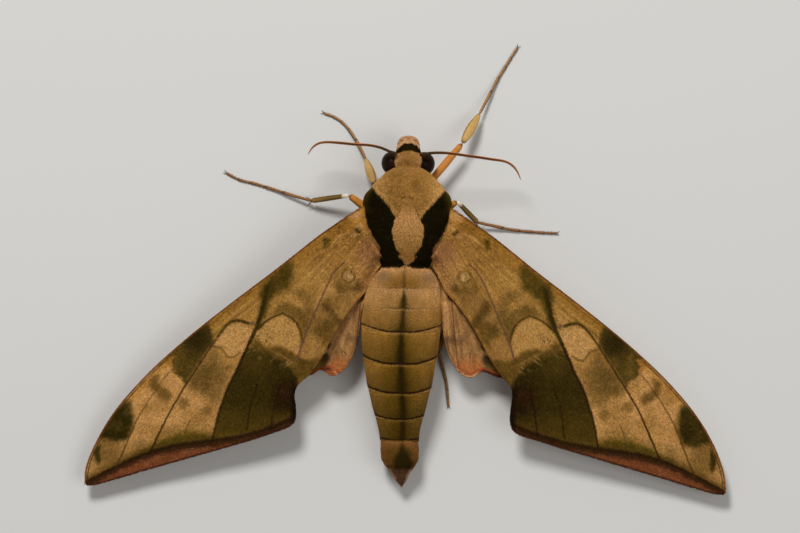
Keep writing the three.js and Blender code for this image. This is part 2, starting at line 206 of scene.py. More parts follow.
def make_piece(name, mesh_parts, material, replaces=(), tuft_map=None):
    """One object from (points, faces, tones, lay) parts whose faces have the same corner count.

    tones are sRGB for each point. lay is in millimetres: across, along and out from the skin.
    """
    points = np.vstack([part[0] for part in mesh_parts])
    starts = np.cumsum([0] + [len(part[0]) for part in mesh_parts[:-1]])
    faces = np.vstack([part[1] + start for part, start in zip(mesh_parts, starts)])
    tones = np.vstack([part[2] for part in mesh_parts])
    lay = np.vstack([part[3] for part in mesh_parts])
    corners = faces.shape[1]
    mesh = bpy.data.meshes.new(name)
    mesh.vertices.add(len(points))
    mesh.vertices.foreach_set("co", (points * MM).astype(np.float32).ravel())
    mesh.loops.add(faces.size)
    mesh.loops.foreach_set("vertex_index", faces.astype(np.int32).ravel())
    mesh.polygons.add(len(faces))
    mesh.polygons.foreach_set("loop_start", np.arange(0, faces.size, corners, dtype=np.int32))
    mesh.polygons.foreach_set("use_smooth", np.ones(len(faces), bool))
    pigment = mesh.attributes.new("pigment", "FLOAT_COLOR", "POINT")
    colours = np.column_stack([to_linear(tones), np.ones(len(tones))])
    pigment.data.foreach_set("color", colours.astype(np.float32).ravel())
    laid = mesh.attributes.new("lay", "FLOAT_VECTOR", "POINT")
    laid.data.foreach_set("vector", lay.astype(np.float32).ravel())
    if tuft_map is not None:
        layer = mesh.uv_layers.new(name="OFBake")
        layer.data.foreach_set("uv", tuft_map[faces.ravel()].astype(np.float32).ravel())
    mesh.update(calc_edges=True)
    mesh.materials.append(material)
    piece = bpy.data.objects.new(name, mesh)
    bpy.context.scene.collection.objects.link(piece)
    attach(piece, "root")
    if replaces:
        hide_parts(*replaces)
    return piece


def loft(grid):
    """Points and faces of a closed skin over rings; each ring has an even number of points."""
    rings, around = grid.shape[:2]
    ring, step = np.meshgrid(np.arange(rings - 1), np.arange(around), indexing="ij")
    following = (step + 1) % around
    sides = np.stack(
        [ring * around + step, ring * around + following]
        + [(ring + 1) * around + following, (ring + 1) * around + step],
        axis=-1,
    ).reshape(-1, 4)
    half = np.arange(around // 2 - 1)
    cap = np.stack([half, around - 1 - half, around - 2 - half, half + 1], axis=-1)
    faces = np.vstack([sides, cap, cap[:, ::-1] + (rings - 1) * around])
    points = grid.reshape(-1, 3)
    a, b, c = (points[faces[:, k]] for k in range(3))
    d = points[faces[:, 3]]
    volume = np.einsum("ij,ij->i", a, np.cross(b, c)).sum()
    volume += np.einsum("ij,ij->i", a, np.cross(c, d)).sum()
    if volume < 0:
        faces = faces[:, ::-1]
    return points, faces


def grid_normals(grid, closed=True):
    """Outward normals of a closed skin's grid, or upward ones of an open sheet's."""
    along = np.gradient(grid, axis=0)
    if closed:
        around = np.roll(grid, -1, 1) - np.roll(grid, 1, 1)
        outward = grid - grid.mean(1, keepdims=True)
    else:
        around = np.gradient(grid, axis=1)
        outward = UP
    normals = unit(np.cross(around, along))
    return normals if (normals * outward).sum() > 0 else -normals


def scatter(grid, density, rng, closed=True):
    """Random places on a grid, as a function that reads a grid of values there.

    It also gives the places, their normals and how far along and around the grid each is.
    density is the number for a square mm, or a function that gives it at the cells' middles.
    """
    near = [grid[:-1], grid[1:]]
    corners = near + [np.roll(rows, -1, 1) for rows in near]
    if not closed:
        corners = [rows[:, :-1] for rows in corners]
    middle = sum(corners) / 4
    area = np.linalg.norm(np.cross(corners[1] - corners[0], corners[2] - corners[0]), axis=-1)
    wanted = density(middle.reshape(-1, 3)).reshape(area.shape) if callable(density) else density
    counts = rng.poisson(area * wanted)
    cell = np.repeat(np.arange(area.size), counts.ravel())
    row, column = np.divmod(cell, area.shape[1])
    down, turn = rng.random(len(cell))[:, None], rng.random(len(cell))[:, None]

    def read(values):
        other = np.roll(values, -1, 1)
        upper = values[row, column] * (1 - turn) + other[row, column] * turn
        lower = values[row + 1, column] * (1 - turn) + other[row + 1, column] * turn
        return upper * (1 - down) + lower * down

    along = (row + down[:, 0]) / area.shape[0]
    around = (column + turn[:, 0]) / area.shape[1]
    normals = unit(read(grid_normals(grid, closed)))
    return read, read(grid), normals, along, around


def tuft_mesh(roots, normals, lie, length, width, lift, tones, along, around, rng):
    """Closed bent spindles that lie along the skin: a root, a waist of three points and a tip."""
    count = len(roots)
    lie = unit(lie - normals * (lie * normals).sum(1)[:, None])
    side = np.cross(lie, normals)
    length = (length * (0.75 + 0.5 * rng.random(count)))[:, None]
    width = (width * (0.75 + 0.5 * rng.random(count)))[:, None]
    lift = (lift * (0.5 + rng.random(count)))[:, None]
    waist = roots + lie * length * 0.4 + normals * length * lift * 0.75
    tip = roots + lie * length + normals * length * lift
    sunk = roots - normals * 0.05
    points = np.stack(
        [sunk, waist + side * width / 2, waist - side * width / 2, waist + normals * width * 0.4, tip],
        axis=1,
    )
    base = np.arange(count)[:, None] * 5
    faces = [(0, 2, 1), (0, 3, 2), (0, 1, 3), (4, 1, 2), (4, 2, 3), (4, 3, 1)]
    faces = np.concatenate([base + np.array(face) for face in faces])
    # Painted shade: each tuft is darker at its root, down in the coat, and a little lighter at its tip.
    shade = np.array([0.84, 0.99, 0.99, 1.0, 1.06])
    spread = 1.0 + 0.09 * rng.standard_normal(count)
    tones = tones[:, None, :] * COAT_GAIN * shade[None, :, None] * spread[:, None, None]
    place = np.stack([around, along], axis=-1)[:, None, :] * 0.98 + 0.01
    corner = np.array([[0, -1], [-1, 0], [1, 0], [0, 0.3], [0, 1]]) * 0.0015
    lay = np.zeros((count, 5, 3))
    lay[:, :, 0] = rng.random(count)[:, None] * 40 + np.array([0, -0.5, 0.5, 0, 0]) * width
    lay[:, :, 1] = rng.random(count)[:, None] * 40 + np.array([0, 0.4, 0.4, 0.4, 1]) * length
    flat_points = points.reshape(-1, 3)
    tuft_map = (place + corner).reshape(-1, 2)
    return (flat_points, faces, tones.reshape(-1, 3), lay.reshape(-1, 3)), tuft_map


# ---- Materials -------------------------------------------------------------------------------
def make_material(name, grain, streak, roughness, bump, gloss, facets=0.0):
    """A surface that takes its markings from the pigment attribute.

    grain is (width, length) of one scale or hair in mm, and streak how far it shades the tone.
    roughness is (smoothest, roughest), bump is the relief in mm, and facets the size of a lens.
    """
    material = bpy.data.materials.new(name)
    material.use_nodes = True
    tree = material.node_tree
    shader = tree.nodes["Principled BSDF"]
    shader.inputs["Specular IOR Level"].default_value = gloss

    def add(kind, **values):
        node = tree.nodes.new("ShaderNode" + kind)
        for socket, value in values.items():
            node.inputs[socket.replace("_", " ")].default_value = value
        return node

    def join(source, output, target, socket):
        tree.links.new(source.outputs[output], target.inputs[socket])

    pigment = add("Attribute")
    pigment.attribute_name = "pigment"
    lay = add("Attribute")
    lay.attribute_name = "lay"
    stretch = add("Mapping", Scale=(1.0 / grain[0], 1.0 / grain[1], 1.0 / grain[0]))
    join(lay, "Vector", stretch, "Vector")
    scales = add("TexVoronoi", Scale=1.0, Randomness=0.8)
    join(stretch, "Vector", scales, "Vector")
    wisps = add("TexNoise", Scale=0.8, Detail=2.0)
    join(stretch, "Vector", wisps, "Vector")

    # Each scale's own shade, and wisps over several scales, tint the marking.
    each = add("SeparateColor")
    join(scales, "Color", each, "Color")
    speckle = add("Math")
    speckle.operation = "ADD"
    join(each, "Red", speckle, 0)
    join(wisps, "Fac", speckle, 1)
    shade = add("MapRange", From_Min=0.3, From_Max=1.7, To_Min=1.0 - streak, To_Max=1.0 + streak)
    join(speckle, "Value", shade, "Value")
    tinted = add("VectorMath")
    tinted.operation = "SCALE"
    join(pigment, "Color", tinted, "Vector")
    join(shade, "Result", tinted, "Scale")
    join(tinted, "Vector", shader, "Base Color")

    rough = add("MapRange", To_Min=roughness[0], To_Max=roughness[1])
    join(each, "Green", rough, "Value")
    join(rough, "Result", shader, "Roughness")
    relief = add("Bump", Strength=0.6, Distance=bump * MM)
    join(speckle, "Value", relief, "Height")
    if facets:
        lens = add("TexVoronoi", Scale=1.0 / (facets * MM), Randomness=0.15)
        join(add("TexCoord"), "Object", lens, "Vector")
        dome = add("Bump", Strength=0.22, Distance=0.3 * facets * MM)
        dome.invert = True
        join(lens, "Distance", dome, "Height")
        join(relief, "Normal", dome, "Normal")
        relief = dome
    join(relief, "Normal", shader, "Normal")
    return material

FUR = make_material("fur", (0.05, 0.4), 0.16, (0.6, 0.85), 0.05, gloss=0.04)
TUFTS = make_material("tufts", (0.03, 0.4), 0.08, (0.5, 0.7), 0.01, gloss=0.03)
WING_SCALES = make_material("wing_scales", (0.11, 0.18), 0.34, (0.45, 0.75), 0.02, gloss=0.02)
LEG_SCALES = make_material("leg_scales", (0.06, 0.2), 0.2, (0.35, 0.6), 0.02, gloss=0.2)
ANTENNA_SCALES = make_material("antenna_scales", (0.05, 0.12), 0.2, (0.4, 0.6), 0.015, gloss=0.15)
EYE = make_material("eye", (0.3, 0.3), 0.12, (0.3, 0.36), 0.0, gloss=0.05, facets=0.045)


def make_coat(name, slot, *tufts):
    """One piece of tufts; the slot is not used, and the values after it are those that tuft_mesh()
    takes.
    """
    made, tuft_map = tuft_mesh(*tufts)
    make_piece(name, [made], TUFTS, tuft_map=tuft_map)


# ---- The body's shape ------------------------------------------------------------------------
# Where the coat's tips reach: [y, half width, top, bottom].
BODY_ROWS = [
    [18.44, 0.22, 5.80, 5.15], [18.36, 0.55, 6.10, 4.85], [18.24, 1.00, 6.65, 4.35],
    [17.98, 1.38, 7.20, 3.85], [17.50, 1.62, 7.80, 3.50], [16.90, 1.78, 8.45, 3.40],
    [16.30, 1.90, 8.90, 3.40], [15.70, 2.15, 9.25, 3.30], [14.80, 2.46, 9.35, 3.40],
    [14.10, 2.42, 9.25, 3.50], [13.30, 3.28, 9.85, 3.30], [12.60, 4.00, 10.5, 2.80],
    [11.90, 4.72, 11.0, 2.50], [11.20, 5.28, 11.4, 2.20], [10.40, 5.98, 11.7, 1.90],
    [9.40, 6.38, 12.1, 1.60], [8.30, 6.30, 12.3, 1.40], [6.00, 6.10, 12.6, 1.20],
    [3.50, 5.30, 12.2, 1.30], [1.60, 4.30, 11.4, 1.60], [0.20, 3.72, 10.6, 2.00],
    [-0.60, 4.34, 10.8, 1.80], [-1.50, 4.80, 10.9, 1.60], [-2.60, 5.14, 11.0, 1.50],
    [-4.00, 5.34, 11.1, 1.20], [-6.90, 5.46, 10.9, 1.00], [-10.50, 5.22, 10.3, 0.85],
    [-13.20, 4.85, 9.70, 0.80], [-15.80, 4.45, 9.10, 0.70], [-18.40, 3.85, 8.30, 0.70],
    [-20.50, 3.30, 7.70, 0.70], [-23.40, 2.68, 6.70, 0.80], [-25.40, 2.66, 6.20, 0.90],
    [-26.30, 2.50, 5.80, 1.10], [-27.00, 2.02, 5.30, 1.40], [-27.85, 1.40, 4.60, 1.70],
    [-28.90, 0.80, 3.80, 2.10], [-29.65, 0.25, 3.20, 2.40],
]
# How deep the coat is: [y, depth].
COAT_ROWS = [
    [18.36, 0.14], [16.0, 0.2], [14.0, 0.3],
    [12.0, 0.42], [4.0, 0.42], [0.5, 0.3],
    [-2.4, 0.16], [-23.0, 0.14], [-29.65, 0.1],
]
# The rear edge of each abdominal segment, [y on the back, how far the flanks run ahead of it].
SEGMENT_EDGES = [
    [0.1, 0.0], [-2.4, 0.3], [-5.2, 0.7],
    [-8.5, 1.3], [-12.9, 1.15], [-16.9, 0.85],
    [-20.5, 0.6], [-23.4, 0.15], [-27.0, 0.0],
    [-29.65, 0.0],
]
ABDOMEN_TIP = -29.65
ABDOMEN_BEND = -0.6
SQUARENESS = 2.2
BODY_AROUND = 176

body_at = profile(BODY_ROWS)
coat_at = profile(COAT_ROWS)


def bow(value):
    return np.sign(value) * np.abs(value) ** (2 / SQUARENESS)


def lean_at(y):
    edges = np.array(SEGMENT_EDGES[::-1])
    return np.interp(y, edges[:, 0], edges[:, 1], right=0.0)


def segment_part(y):
    """How far along its segment each row of the back is, from 0 at its front edge to 1."""
    edges = np.array([edge[0] for edge in SEGMENT_EDGES[:-2]])
    part = np.zeros(len(y))
    for front, rear in zip(edges[:-1], edges[1:]):
        part = np.where((y < front) & (y >= rear), (front - y) / (front - rear), part)
    return part


def segment_level(points, high):
    """Where on the back a point of a segment belongs, as the flanks run ahead of it."""
    y = points[:, 1]
    return y - lean_at(y) * (1 - np.clip(high, 0.0, 1.0) ** 2) * 0.9


def abdomen_centre(y):
    """The abdomen lies a little to the moth's left."""
    return ABDOMEN_BEND * np.sin(math.pi * np.clip(y / ABDOMEN_TIP, 0.0, 1.0)) ** 0.6


def body_rows():
    """Rows of the skin on the back, close together on the face and at the segments' edges."""
    rows = [18.44, 18.43, 18.4] + list(np.linspace(18.36, 13.0, 54)) + list(np.linspace(12.8, 0.25, 74))
    edges = [edge[0] for edge in SEGMENT_EDGES]
    for front, rear in zip(edges[:-1], edges[1:]):
        count = int(round((front - rear) / 0.2))
        rows += list(np.linspace(front - 0.05, rear + 0.3, count))
        rows += [rear + 0.2, rear + 0.12, rear + 0.05, rear]
    return np.array(rows)


def body_grid(rows, inset=1.0):
    """The skin's rings; an inset of 0 is the coat's outside and 1 is the skin."""
    turn = np.linspace(0.0, 2 * math.pi, BODY_AROUND, endpoint=False)[None, :]
    lean = lean_at(rows)[:, None]
    flank = rows + lean[:, 0]
    half, top, bottom = (value[:, None] for value in body_at(flank))
    depth = coat_at(flank)[0][:, None] * inset
    part = segment_part(rows)[:, None]
    overlap = np.interp(-rows, [4.0, 8.0], [0.4, 1.0])[:, None]
    swell = overlap * (0.09 * part**1.5 - 0.04 * (part > 0))
    neck = np.exp(-(((rows - 14.12) / 0.16) ** 2))[:, None]
    palps = fade(15.4, 16.6, rows)[:, None] * np.exp(-(((turn - 1.5 * math.pi) / 0.2) ** 2))
    cheeks = fade(15.4, 16.6, rows)[:, None] * np.exp(-(((turn - math.pi) / 0.3) ** 2))
    cheeks = cheeks + np.roll(cheeks, BODY_AROUND // 2, 1)
    grow = swell - depth - 0.06 * neck - 0.3 * palps - 0.1 * cheeks
    half = np.maximum(half + grow, 0.12)
    height = np.maximum((top - bottom) / 2 + grow, 0.12)
    middle = (top + bottom) / 2
    centre = abdomen_centre(rows)[:, None]
    x = centre + half * bow(np.cos(turn))
    y = flank[:, None] - lean * bow(np.sin(turn))
    z = middle + height * bow(np.sin(turn))
    return np.stack([x, y, z], axis=-1)


def body_height(points):
    """How high a point of the body is: 1 on the back, 0 on the flank and -1 underneath."""
    _, top, bottom = body_at(points[:, 1])
    return (points[:, 2] - (top + bottom) / 2) / ((top - bottom) / 2)


# ---- The body's markings, seen from above ----------------------------------------------------
SHIELD = [
    (-4.77, 11.71), (-4.07, 10.67), (-3.31, 9.90), (-2.88, 9.27), (-2.35, 8.81), (-2.02, 8.13),
    (-1.42, 7.46), (-1.67, 6.82), (-1.99, 5.92), (-1.93, 4.98), (-1.74, 3.93), (-1.34, 3.04),
    (-0.74, 2.37), (-1.43, 2.20), (-0.73, 1.79), (-0.19, 1.12), (0.13, 0.96), (0.75, 1.29),
    (1.47, 2.15), (0.94, 2.19), (1.76, 3.26), (2.09, 4.00), (2.20, 5.06), (2.24, 6.01),
    (2.04, 6.63), (1.69, 7.13), (2.30, 8.06), (3.13, 8.97), (3.74, 9.72), (4.36, 10.47),
    (4.82, 11.09), (5.4, 12.5), (3.0, 15.0), (-3.0, 15.0), (-5.4, 12.9),
]
DARK_BACK = [
    (-4.77, 11.71), (-6.6, 11.5), (-6.8, 9.42), (-6.0, 8.37), (-5.58, 7.33), (-5.02, 5.65),
    (-4.36, 4.30), (-3.65, 3.15), (-4.10, 1.78), (-3.86, 0.25), (-2.81, 0.20), (-1.13, 0.38),
    (-0.29, 0.61), (0.13, 0.72), (0.98, 0.40), (2.25, 0.09), (3.35, 0.24), (3.68, 2.03),
    (3.77, 3.19), (4.59, 4.37), (5.19, 5.85), (5.68, 7.55), (6.6, 8.82), (6.6, 11.0),
    (4.82, 11.09), (0.0, 12.5),
]
SCUTELLUM = [
    (-0.48, 10.16), (-0.78, 9.32), (-0.97, 8.47), (-1.27, 7.52), (-1.42, 7.46), (-1.67, 6.82),
    (-1.99, 5.92), (-1.93, 4.98), (-1.74, 3.93), (-1.34, 3.04), (-0.74, 2.37), (0.94, 2.19),
    (1.76, 3.26), (2.09, 4.00), (2.20, 5.06), (2.24, 6.01), (2.04, 6.63), (1.69, 7.13),
    (1.58, 7.36), (1.24, 8.30), (1.02, 9.14), (0.58, 10.08),
]
BAND = [
    (-2.3, 15.6), (-1.78, 16.1), (-1.06, 16.97), (-0.33, 17.36), (0.4, 17.37), (1.15, 17.02),
    (1.65, 16.41), (2.4, 15.7), (1.92, 15.44), (1.41, 16.04), (0.42, 16.33), (-0.56, 16.31),
    (-1.53, 15.92), (-1.94, 14.87),
]
LAST_SPOT = [
    (-0.09, -23.71), (-0.47, -24.72), (-1.06, -25.74), (-1.13, -27.26), (-0.02, -27.44),
    (1.19, -27.31), (1.58, -26.4), (0.95, -25.2), (0.43, -24.4),
]
# Where the black back meets the hair at the wings' roots: how far out it is along the back.
ROOT_EDGE_Y = [0.2, 1.8, 3.2, 4.4, 5.8, 7.5, 8.8]
ROOT_EDGE_X = [3.5, 3.8, 3.6, 4.4, 5.1, 5.7, 6.3]
SHIELD_TAN = (166, 122, 60)
SHIELD_PALE = (204, 156, 92)
SHIELD_BROWN = (118, 83, 34)
LOBE_ROWS = [
    [10.2, 160, 116, 60], [9.0, 176, 130, 70], [7.2, 208, 156, 96],
    [5.2, 196, 148, 84], [3.4, 180, 135, 72], [2.3, 172, 124, 62],
    [1.6, 176, 130, 68], [1.0, 210, 162, 104],
]
BLACK = (29, 22, 4)
OLIVE_SHEEN_RIM = (92, 74, 20)
WING_BASE = (162, 112, 70)
VERTEX_TAN = (170, 122, 64)
VERTEX_PALE = (204, 156, 100)
FACE = (214, 166, 118)
BAND_BLACK = (38, 27, 4)
BELLY = (168, 130, 86)
# The abdomen's tone along the back, on the flanks and in its dark line: [y, red, green, blue].
ABDOMEN_ROWS = [
    [0.5, 204, 154, 98], [-0.9, 168, 122, 62], [-2.2, 152, 108, 52],
    [-2.6, 180, 134, 80], [-3.8, 170, 127, 70], [-5.0, 160, 118, 64],
    [-6.4, 158, 116, 56], [-8.2, 146, 106, 46], [-10.5, 128, 93, 32],
    [-14.9, 110, 80, 20], [-18.6, 104, 77, 20], [-21.9, 96, 70, 18],
    [-23.4, 106, 76, 26],
]
FLANK_ROWS = [
    [0.5, 204, 154, 98], [-0.9, 192, 144, 90], [-3.4, 206, 156, 92],
    [-6.0, 176, 128, 66], [-9.6, 154, 112, 50], [-14.2, 146, 106, 46],
    [-18.4, 130, 96, 42], [-23.4, 120, 88, 36],
]
# [y, how dark the line down the back is, its half width, its x].
BACK_LINE_ROWS = [
    [0.5, 0.15, 0.2, -0.15], [-0.9, 0.35, 0.25, -0.2], [-2.5, 0.4, 0.14, -0.25],
    [-3.6, 0.85, 0.28, -0.25], [-5.0, 0.8, 0.4, -0.28], [-6.6, 0.76, 0.34, -0.32],
    [-8.5, 0.8, 0.45, -0.46], [-11.5, 0.9, 0.5, -0.5], [-14.9, 0.85, 0.55, -0.32],
    [-18.6, 0.85, 0.46, -0.08], [-23.4, 0.8, 0.38, 0.0],
]
lobe_tone = profile(LOBE_ROWS)
abdomen_tone = profile(ABDOMEN_ROWS)
flank_tone = profile(FLANK_ROWS)
back_line_at = profile(BACK_LINE_ROWS)


def thorax_tones(points, x, y, high, seed):
    """The tan shield with its tail-like lobe, the black sides and the hair of the wings' roots."""
    away = np.abs(x)
    tones = plain(SHIELD_TAN, points)
    paint(tones, SHIELD_PALE, 0.75 * fade(2.0, 4.2, away) * fade(13.6, 12.4, y))
    rear_edge = line_distance(x, y, SHIELD[:7]) < 0.6
    rear_edge |= line_distance(x, y, SHIELD[-11:-4]) < 0.6
    paint(tones, SHIELD_PALE, 0.45 * rear_edge)
    clouds = noise(points, (1.1, 0.7, 2.0), seed + 9) + 0.5 * noise(points, 0.45, seed + 10)
    middle = spot(x, y, (0.2, 11.6), 2.2, 1.6)
    paint(tones, SHIELD_BROWN, 0.55 * fade(-0.1, 0.9, clouds) * middle)
    paint(tones, SHIELD_BROWN, 0.45 * stroke(x, y, [(-1.7, 12.9), (-0.9, 13.1)], 0.3, 0.3))
    paint(tones, (176, 128, 76), 0.5 * fade(13.2, 13.9, y))
    lobe = patch(x, y, SCUTELLUM, 0.12)
    tones += (np.column_stack(lobe_tone(y)) - tones) * np.maximum(lobe, y < 3.0)[:, None]
    for edge in (SCUTELLUM[:5], SCUTELLUM[-4:]):
        paint(tones, (98, 66, 24), 0.55 * stroke(x, y, edge, 0.1, 0.1) * fade(9.6, 8.2, y))
    for side in SIDES.values():
        notch = [(side * 0.3, 10.2), (side * 0.75, 10.0)]
        paint(tones, (74, 50, 18), 0.75 * stroke(x, y, notch, 0.16, 0.1))
    paint(tones, (190, 144, 92), 0.6 * spot(x, y, (-0.05, 10.45), 0.16, 0.12))

    edge_x = np.interp(y, ROOT_EDGE_Y, ROOT_EDGE_X)
    beside = fade(-0.12, 0.12, away - edge_x) * fade(9.0, 8.5, y)
    paint(tones, WING_BASE, fade(-0.2, 0.2, away - edge_x) * fade(9.2, 8.4, y))
    dark = patch(x, y, DARK_BACK, 0.06) * (1 - patch(x, y, SHIELD, 0.06)) * (1 - beside)
    dark = dark * fade(-0.2, -0.05, high)
    paint(tones, BLACK, dark)
    # Olive scales on the black's flanks at the shoulders, with a painted sheen: the olive grows as the
    # surface turns down.
    rim = dark * fade(0.62, 0.2, high) * fade(7.6, 9.0, y)
    paint(tones, OLIVE_SHEEN_RIM, 0.9 * rim)
    paint(tones, OLIVE_BLACK, 0.5 * dark * fade(0.2, 0.9, noise(points, 0.8, seed + 5)))
    return tones


def abdomen_tones(points, x, y, high, seed):
    """Olive-brown segments with a dark line down the back and pale front edges; the dark rear edges are
    partly dark scales and partly painted shadow where each segment overlaps the next.
    """
    along = segment_part(segment_level(points, high))
    tones = np.column_stack(abdomen_tone(y))
    centre = abdomen_centre(y)
    half = body_at(y)[0]
    off = np.abs(x - centre) / half
    flank = fade(0.12, 0.95, off)[:, None]
    tones = tones * (1 - flank) + np.column_stack(flank_tone(y)) * flank
    behind = fade(-5.5, -8.5, y)
    tones *= (1.0 + behind * (0.16 - 0.3 * along))[:, None]
    clouds = noise(points, (0.5, 1.1, 1.0), seed + 12)
    tones *= (1.0 + 0.06 * clouds)[:, None]
    for side in SIDES.values():
        paint(tones, (134, 106, 84), 0.4 * spot(x, y, (3.0 * side, -0.9), 0.7, 0.7))
    strength, width, line_x = back_line_at(y)
    line = np.exp(-(((x - line_x) / (width * (0.8 + 0.6 * along))) ** 2)) * strength
    paint(tones, (74, 54, 8), 0.4 * np.exp(-(((x - line_x) / 1.4) ** 2)) * fade(-5.5, -8.0, y))
    paint(tones, (40, 29, 3), line)

    crisp = fade(-6.5, -8.2, y)
    soft = (1 - crisp) * fade(-1.8, -2.3, y)
    paint(tones, (180, 134, 76), 0.5 * crisp * (along > 0) * fade(0.075, 0.02, along))
    paint(tones, PALE_BUFF, 0.6 * soft * (along > 0) * fade(0.12, 0.02, along))
    near_line = fade(2.4, 1.2, np.abs(x - centre))
    # Painted shadow, with dark scales, along each segment's rear edge where it overlaps the next: soft
    # on the front segments, crisp further back.
    paint(tones, (66, 46, 18), 0.5 * soft * fade(0.93, 0.985, along) * near_line)
    paint(tones, (44, 22, 5), crisp * fade(0.925, 0.945, along))

    # The last segment, and the blunt pinkish tuft that ends it.
    last = fade(-23.35, -23.5, y)
    paint(tones, (112, 78, 30), last)
    paint(tones, (168, 114, 62), 0.7 * last * fade(-24.8, -23.4, y))
    paint(tones, (150, 94, 48), 0.6 * last * fade(1.3, 2.6, np.abs(x - centre)))
    paint(tones, OLIVE_BLACK, 0.9 * last * patch(x, y, LAST_SPOT, 0.5))
    tuft = fade(-27.0, -27.3, y)
    paint(tones, (104, 72, 50), tuft)
    paint(tones, (200, 154, 130), 0.75 * fade(-26.9, -27.2, y) * fade(0.55, 0.85, off))
    return tones


def head_tones(points, x, y, high, seed):
    """A mottled tan crown, a black band between the feelers and a pale face."""
    tones = plain(VERTEX_TAN, points)
    paint(tones, VERTEX_PALE, 0.75 * fade(0.9, 1.7, np.abs(x)))
    clouds = noise(points, 0.5, seed + 11) + 0.5 * noise(points, 0.22, seed + 13)
    paint(tones, (112, 74, 28), 0.5 * fade(0.1, 0.9, clouds) * fade(1.6, 1.0, np.abs(x)))
    paint(tones, VERTEX_PALE, 0.4 * fade(0.1, 0.9, -clouds))
    paint(tones, FACE, np.maximum(fade(16.75, 16.95, y), fade(0.25, -0.1, high)))
    paint(tones, (168, 122, 74), 0.5 * fade(0.0, 0.7, clouds) * fade(17.2, 17.5, y))
    paint(tones, BAND_BLACK, patch(x, y, BAND, 0.07) * fade(-0.1, 0.2, high))
    tongue = np.exp(-((x / 0.16) ** 2)) * fade(0.0, -0.4, high) * fade(15.2, 16.0, y)
    paint(tones, (96, 62, 34), 0.8 * tongue)
    for side in SIDES.values():
        arc = [(side * 0.68, 17.8), (side * 0.9, 17.72), (side * 1.15, 17.86)]
        paint(tones, JOINT_BROWN, 0.85 * stroke(x, y, arc, 0.08, 0.06))
        paint(tones, (74, 46, 24), 0.8 * spot(x, y, (side * 1.45, 17.4), 0.16, 0.1))
    return tones


def body_tones(points, seed=3):
    """The sRGB markings of skin and coat alike, with painted shade in the neck's crease and along the
    abdomen's segment edges.
    """
    x = points[:, 0] + 0.08 * noise(points, 0.28, seed) + 0.07 * noise(points, 0.8, seed + 1)
    y = points[:, 1] + 0.1 * noise(points, 0.28, seed + 2)
    high = body_height(points)
    tones = thorax_tones(points, x, y, high, seed)
    front = 0.62 + 0.35 * np.exp(-((x / 0.8) ** 2))
    on_abdomen = fade(front, front - 0.25, y)[:, None]
    tones += (abdomen_tones(points, x, y, high, seed) - tones) * on_abdomen
    on_head = fade(14.0, 14.2, points[:, 1])[:, None]
    tones += (head_tones(points, x, y, high, seed) - tones) * on_head
    # Painted shade in the crease where the head meets the thorax, darker towards the sides.
    crease = fade(0.12, 0.02, np.abs(y - 14.1)) * fade(0.2, 0.6, high)
    paint(tones, (84, 50, 20), crease * (0.15 + 0.6 * fade(1.2, 1.9, np.abs(x - 0.2))))
    paint(tones, BELLY, 0.85 * fade(-0.15, -0.5, high))
    return tones


def skin_lay(grid):
    """Across and along the coat, in millimetres."""
    steps = np.linalg.norm(np.roll(grid, -1, 1) - grid, axis=-1)
    across = np.cumsum(steps, axis=1)
    return np.stack([across, grid[:, :, 1], grid[:, :, 2] * 0.02], axis=-1).reshape(-1, 3)


def make_body():
    grid = body_grid(body_rows())
    points, faces = loft(grid)
    fleshy = ["head", "collar", "thorax"]
    fleshy += [f"{part}_{side}" for part in ("tegula", "palp") for side in SIDES]
    fleshy += [f"abdomen_{number}" for number in range(1, 10)]
    # The skin is painted a little darker than the coat, as painted shade among the tufts.
    tones = body_tones(points) * 0.9
    make_piece("body_skin", [(points, faces, tones, skin_lay(grid))], FUR, fleshy)
    return grid


def body_coat(name, grid, slot, chosen, density, length, width, lift, seed, spread):
    """Tufts on the part of the skin that chosen() picks, lying back and a little outward."""
    rng = np.random.default_rng(seed)
    found = scatter(grid, lambda middles: density * chosen(middles), rng)
    _, roots, normals, along, around = found
    lie = spread * rng.standard_normal(roots.shape)
    lie[:, 0] += 0.18 * np.clip(roots[:, 0] / 3.0, -1.0, 1.0)
    lie[:, 1] -= 1.0
    tones = body_tones(roots)
    size = np.interp(roots[:, 1], [11.0, 13.6], [1.0, 0.6])
    long = length * size
    make_coat(name, slot, roots, normals, lie, long, width, lift, tones, along, around, rng)


# ---- Wings -----------------------------------------------------------------------------------
WING_ROOT = (5.5, 4.0)
WING_SPAN = 51.5
WING_AXIS = (0.751, -0.66)
ROOT_HEIGHT = 8.6
APEX_HEIGHT = 2.9
SWEEP = math.radians(0.8)
LAY_TURN = 0.35  # how far the rows of scales turn from the wing's axis, in radians
FOREWING_LEAD = [
    (6.2, 8.4), (11.4, 5.0), (17.8, 0.0), (24.5, -5.1), (30.6, -10.0), (36.1, -15.1),
    (40.4, -20.2), (43.1, -25.0), (44.1, -28.0), (44.2, -30.0),
]
FOREWING_TRAIL = [
    (3.5, 0.6), (4.3, -0.6), (4.9, -1.7), (5.3, -2.6), (6.0, -3.4), (8.05, -5.9), (9.95, -8.9),
    (11.6, -12.0), (13.3, -14.4), (14.7, -15.9), (14.95, -17.2), (14.75, -18.9), (14.75, -20.5),
    (15.3, -21.5), (19.1, -22.95), (27.5, -25.5), (34.5, -27.55), (40.0, -29.2), (43.0, -30.0),
    (44.2, -30.0),
]
HINDWING_LEAD = [(5.5, 3.0), (14.0, -2.2), (21.0, -7.0), (25.8, -10.8), (27.6, -13.4)]
HINDWING_TRAIL = [
    (3.4, 0.0), (4.8, -5.0), (5.3, -9.0), (6.0, -11.5), (7.6, -13.95), (9.1, -14.5),
    (10.6, -13.7), (12.9, -14.5), (16.5, -14.7), (20.5, -15.3), (24.8, -15.2), (27.6, -13.4),
]
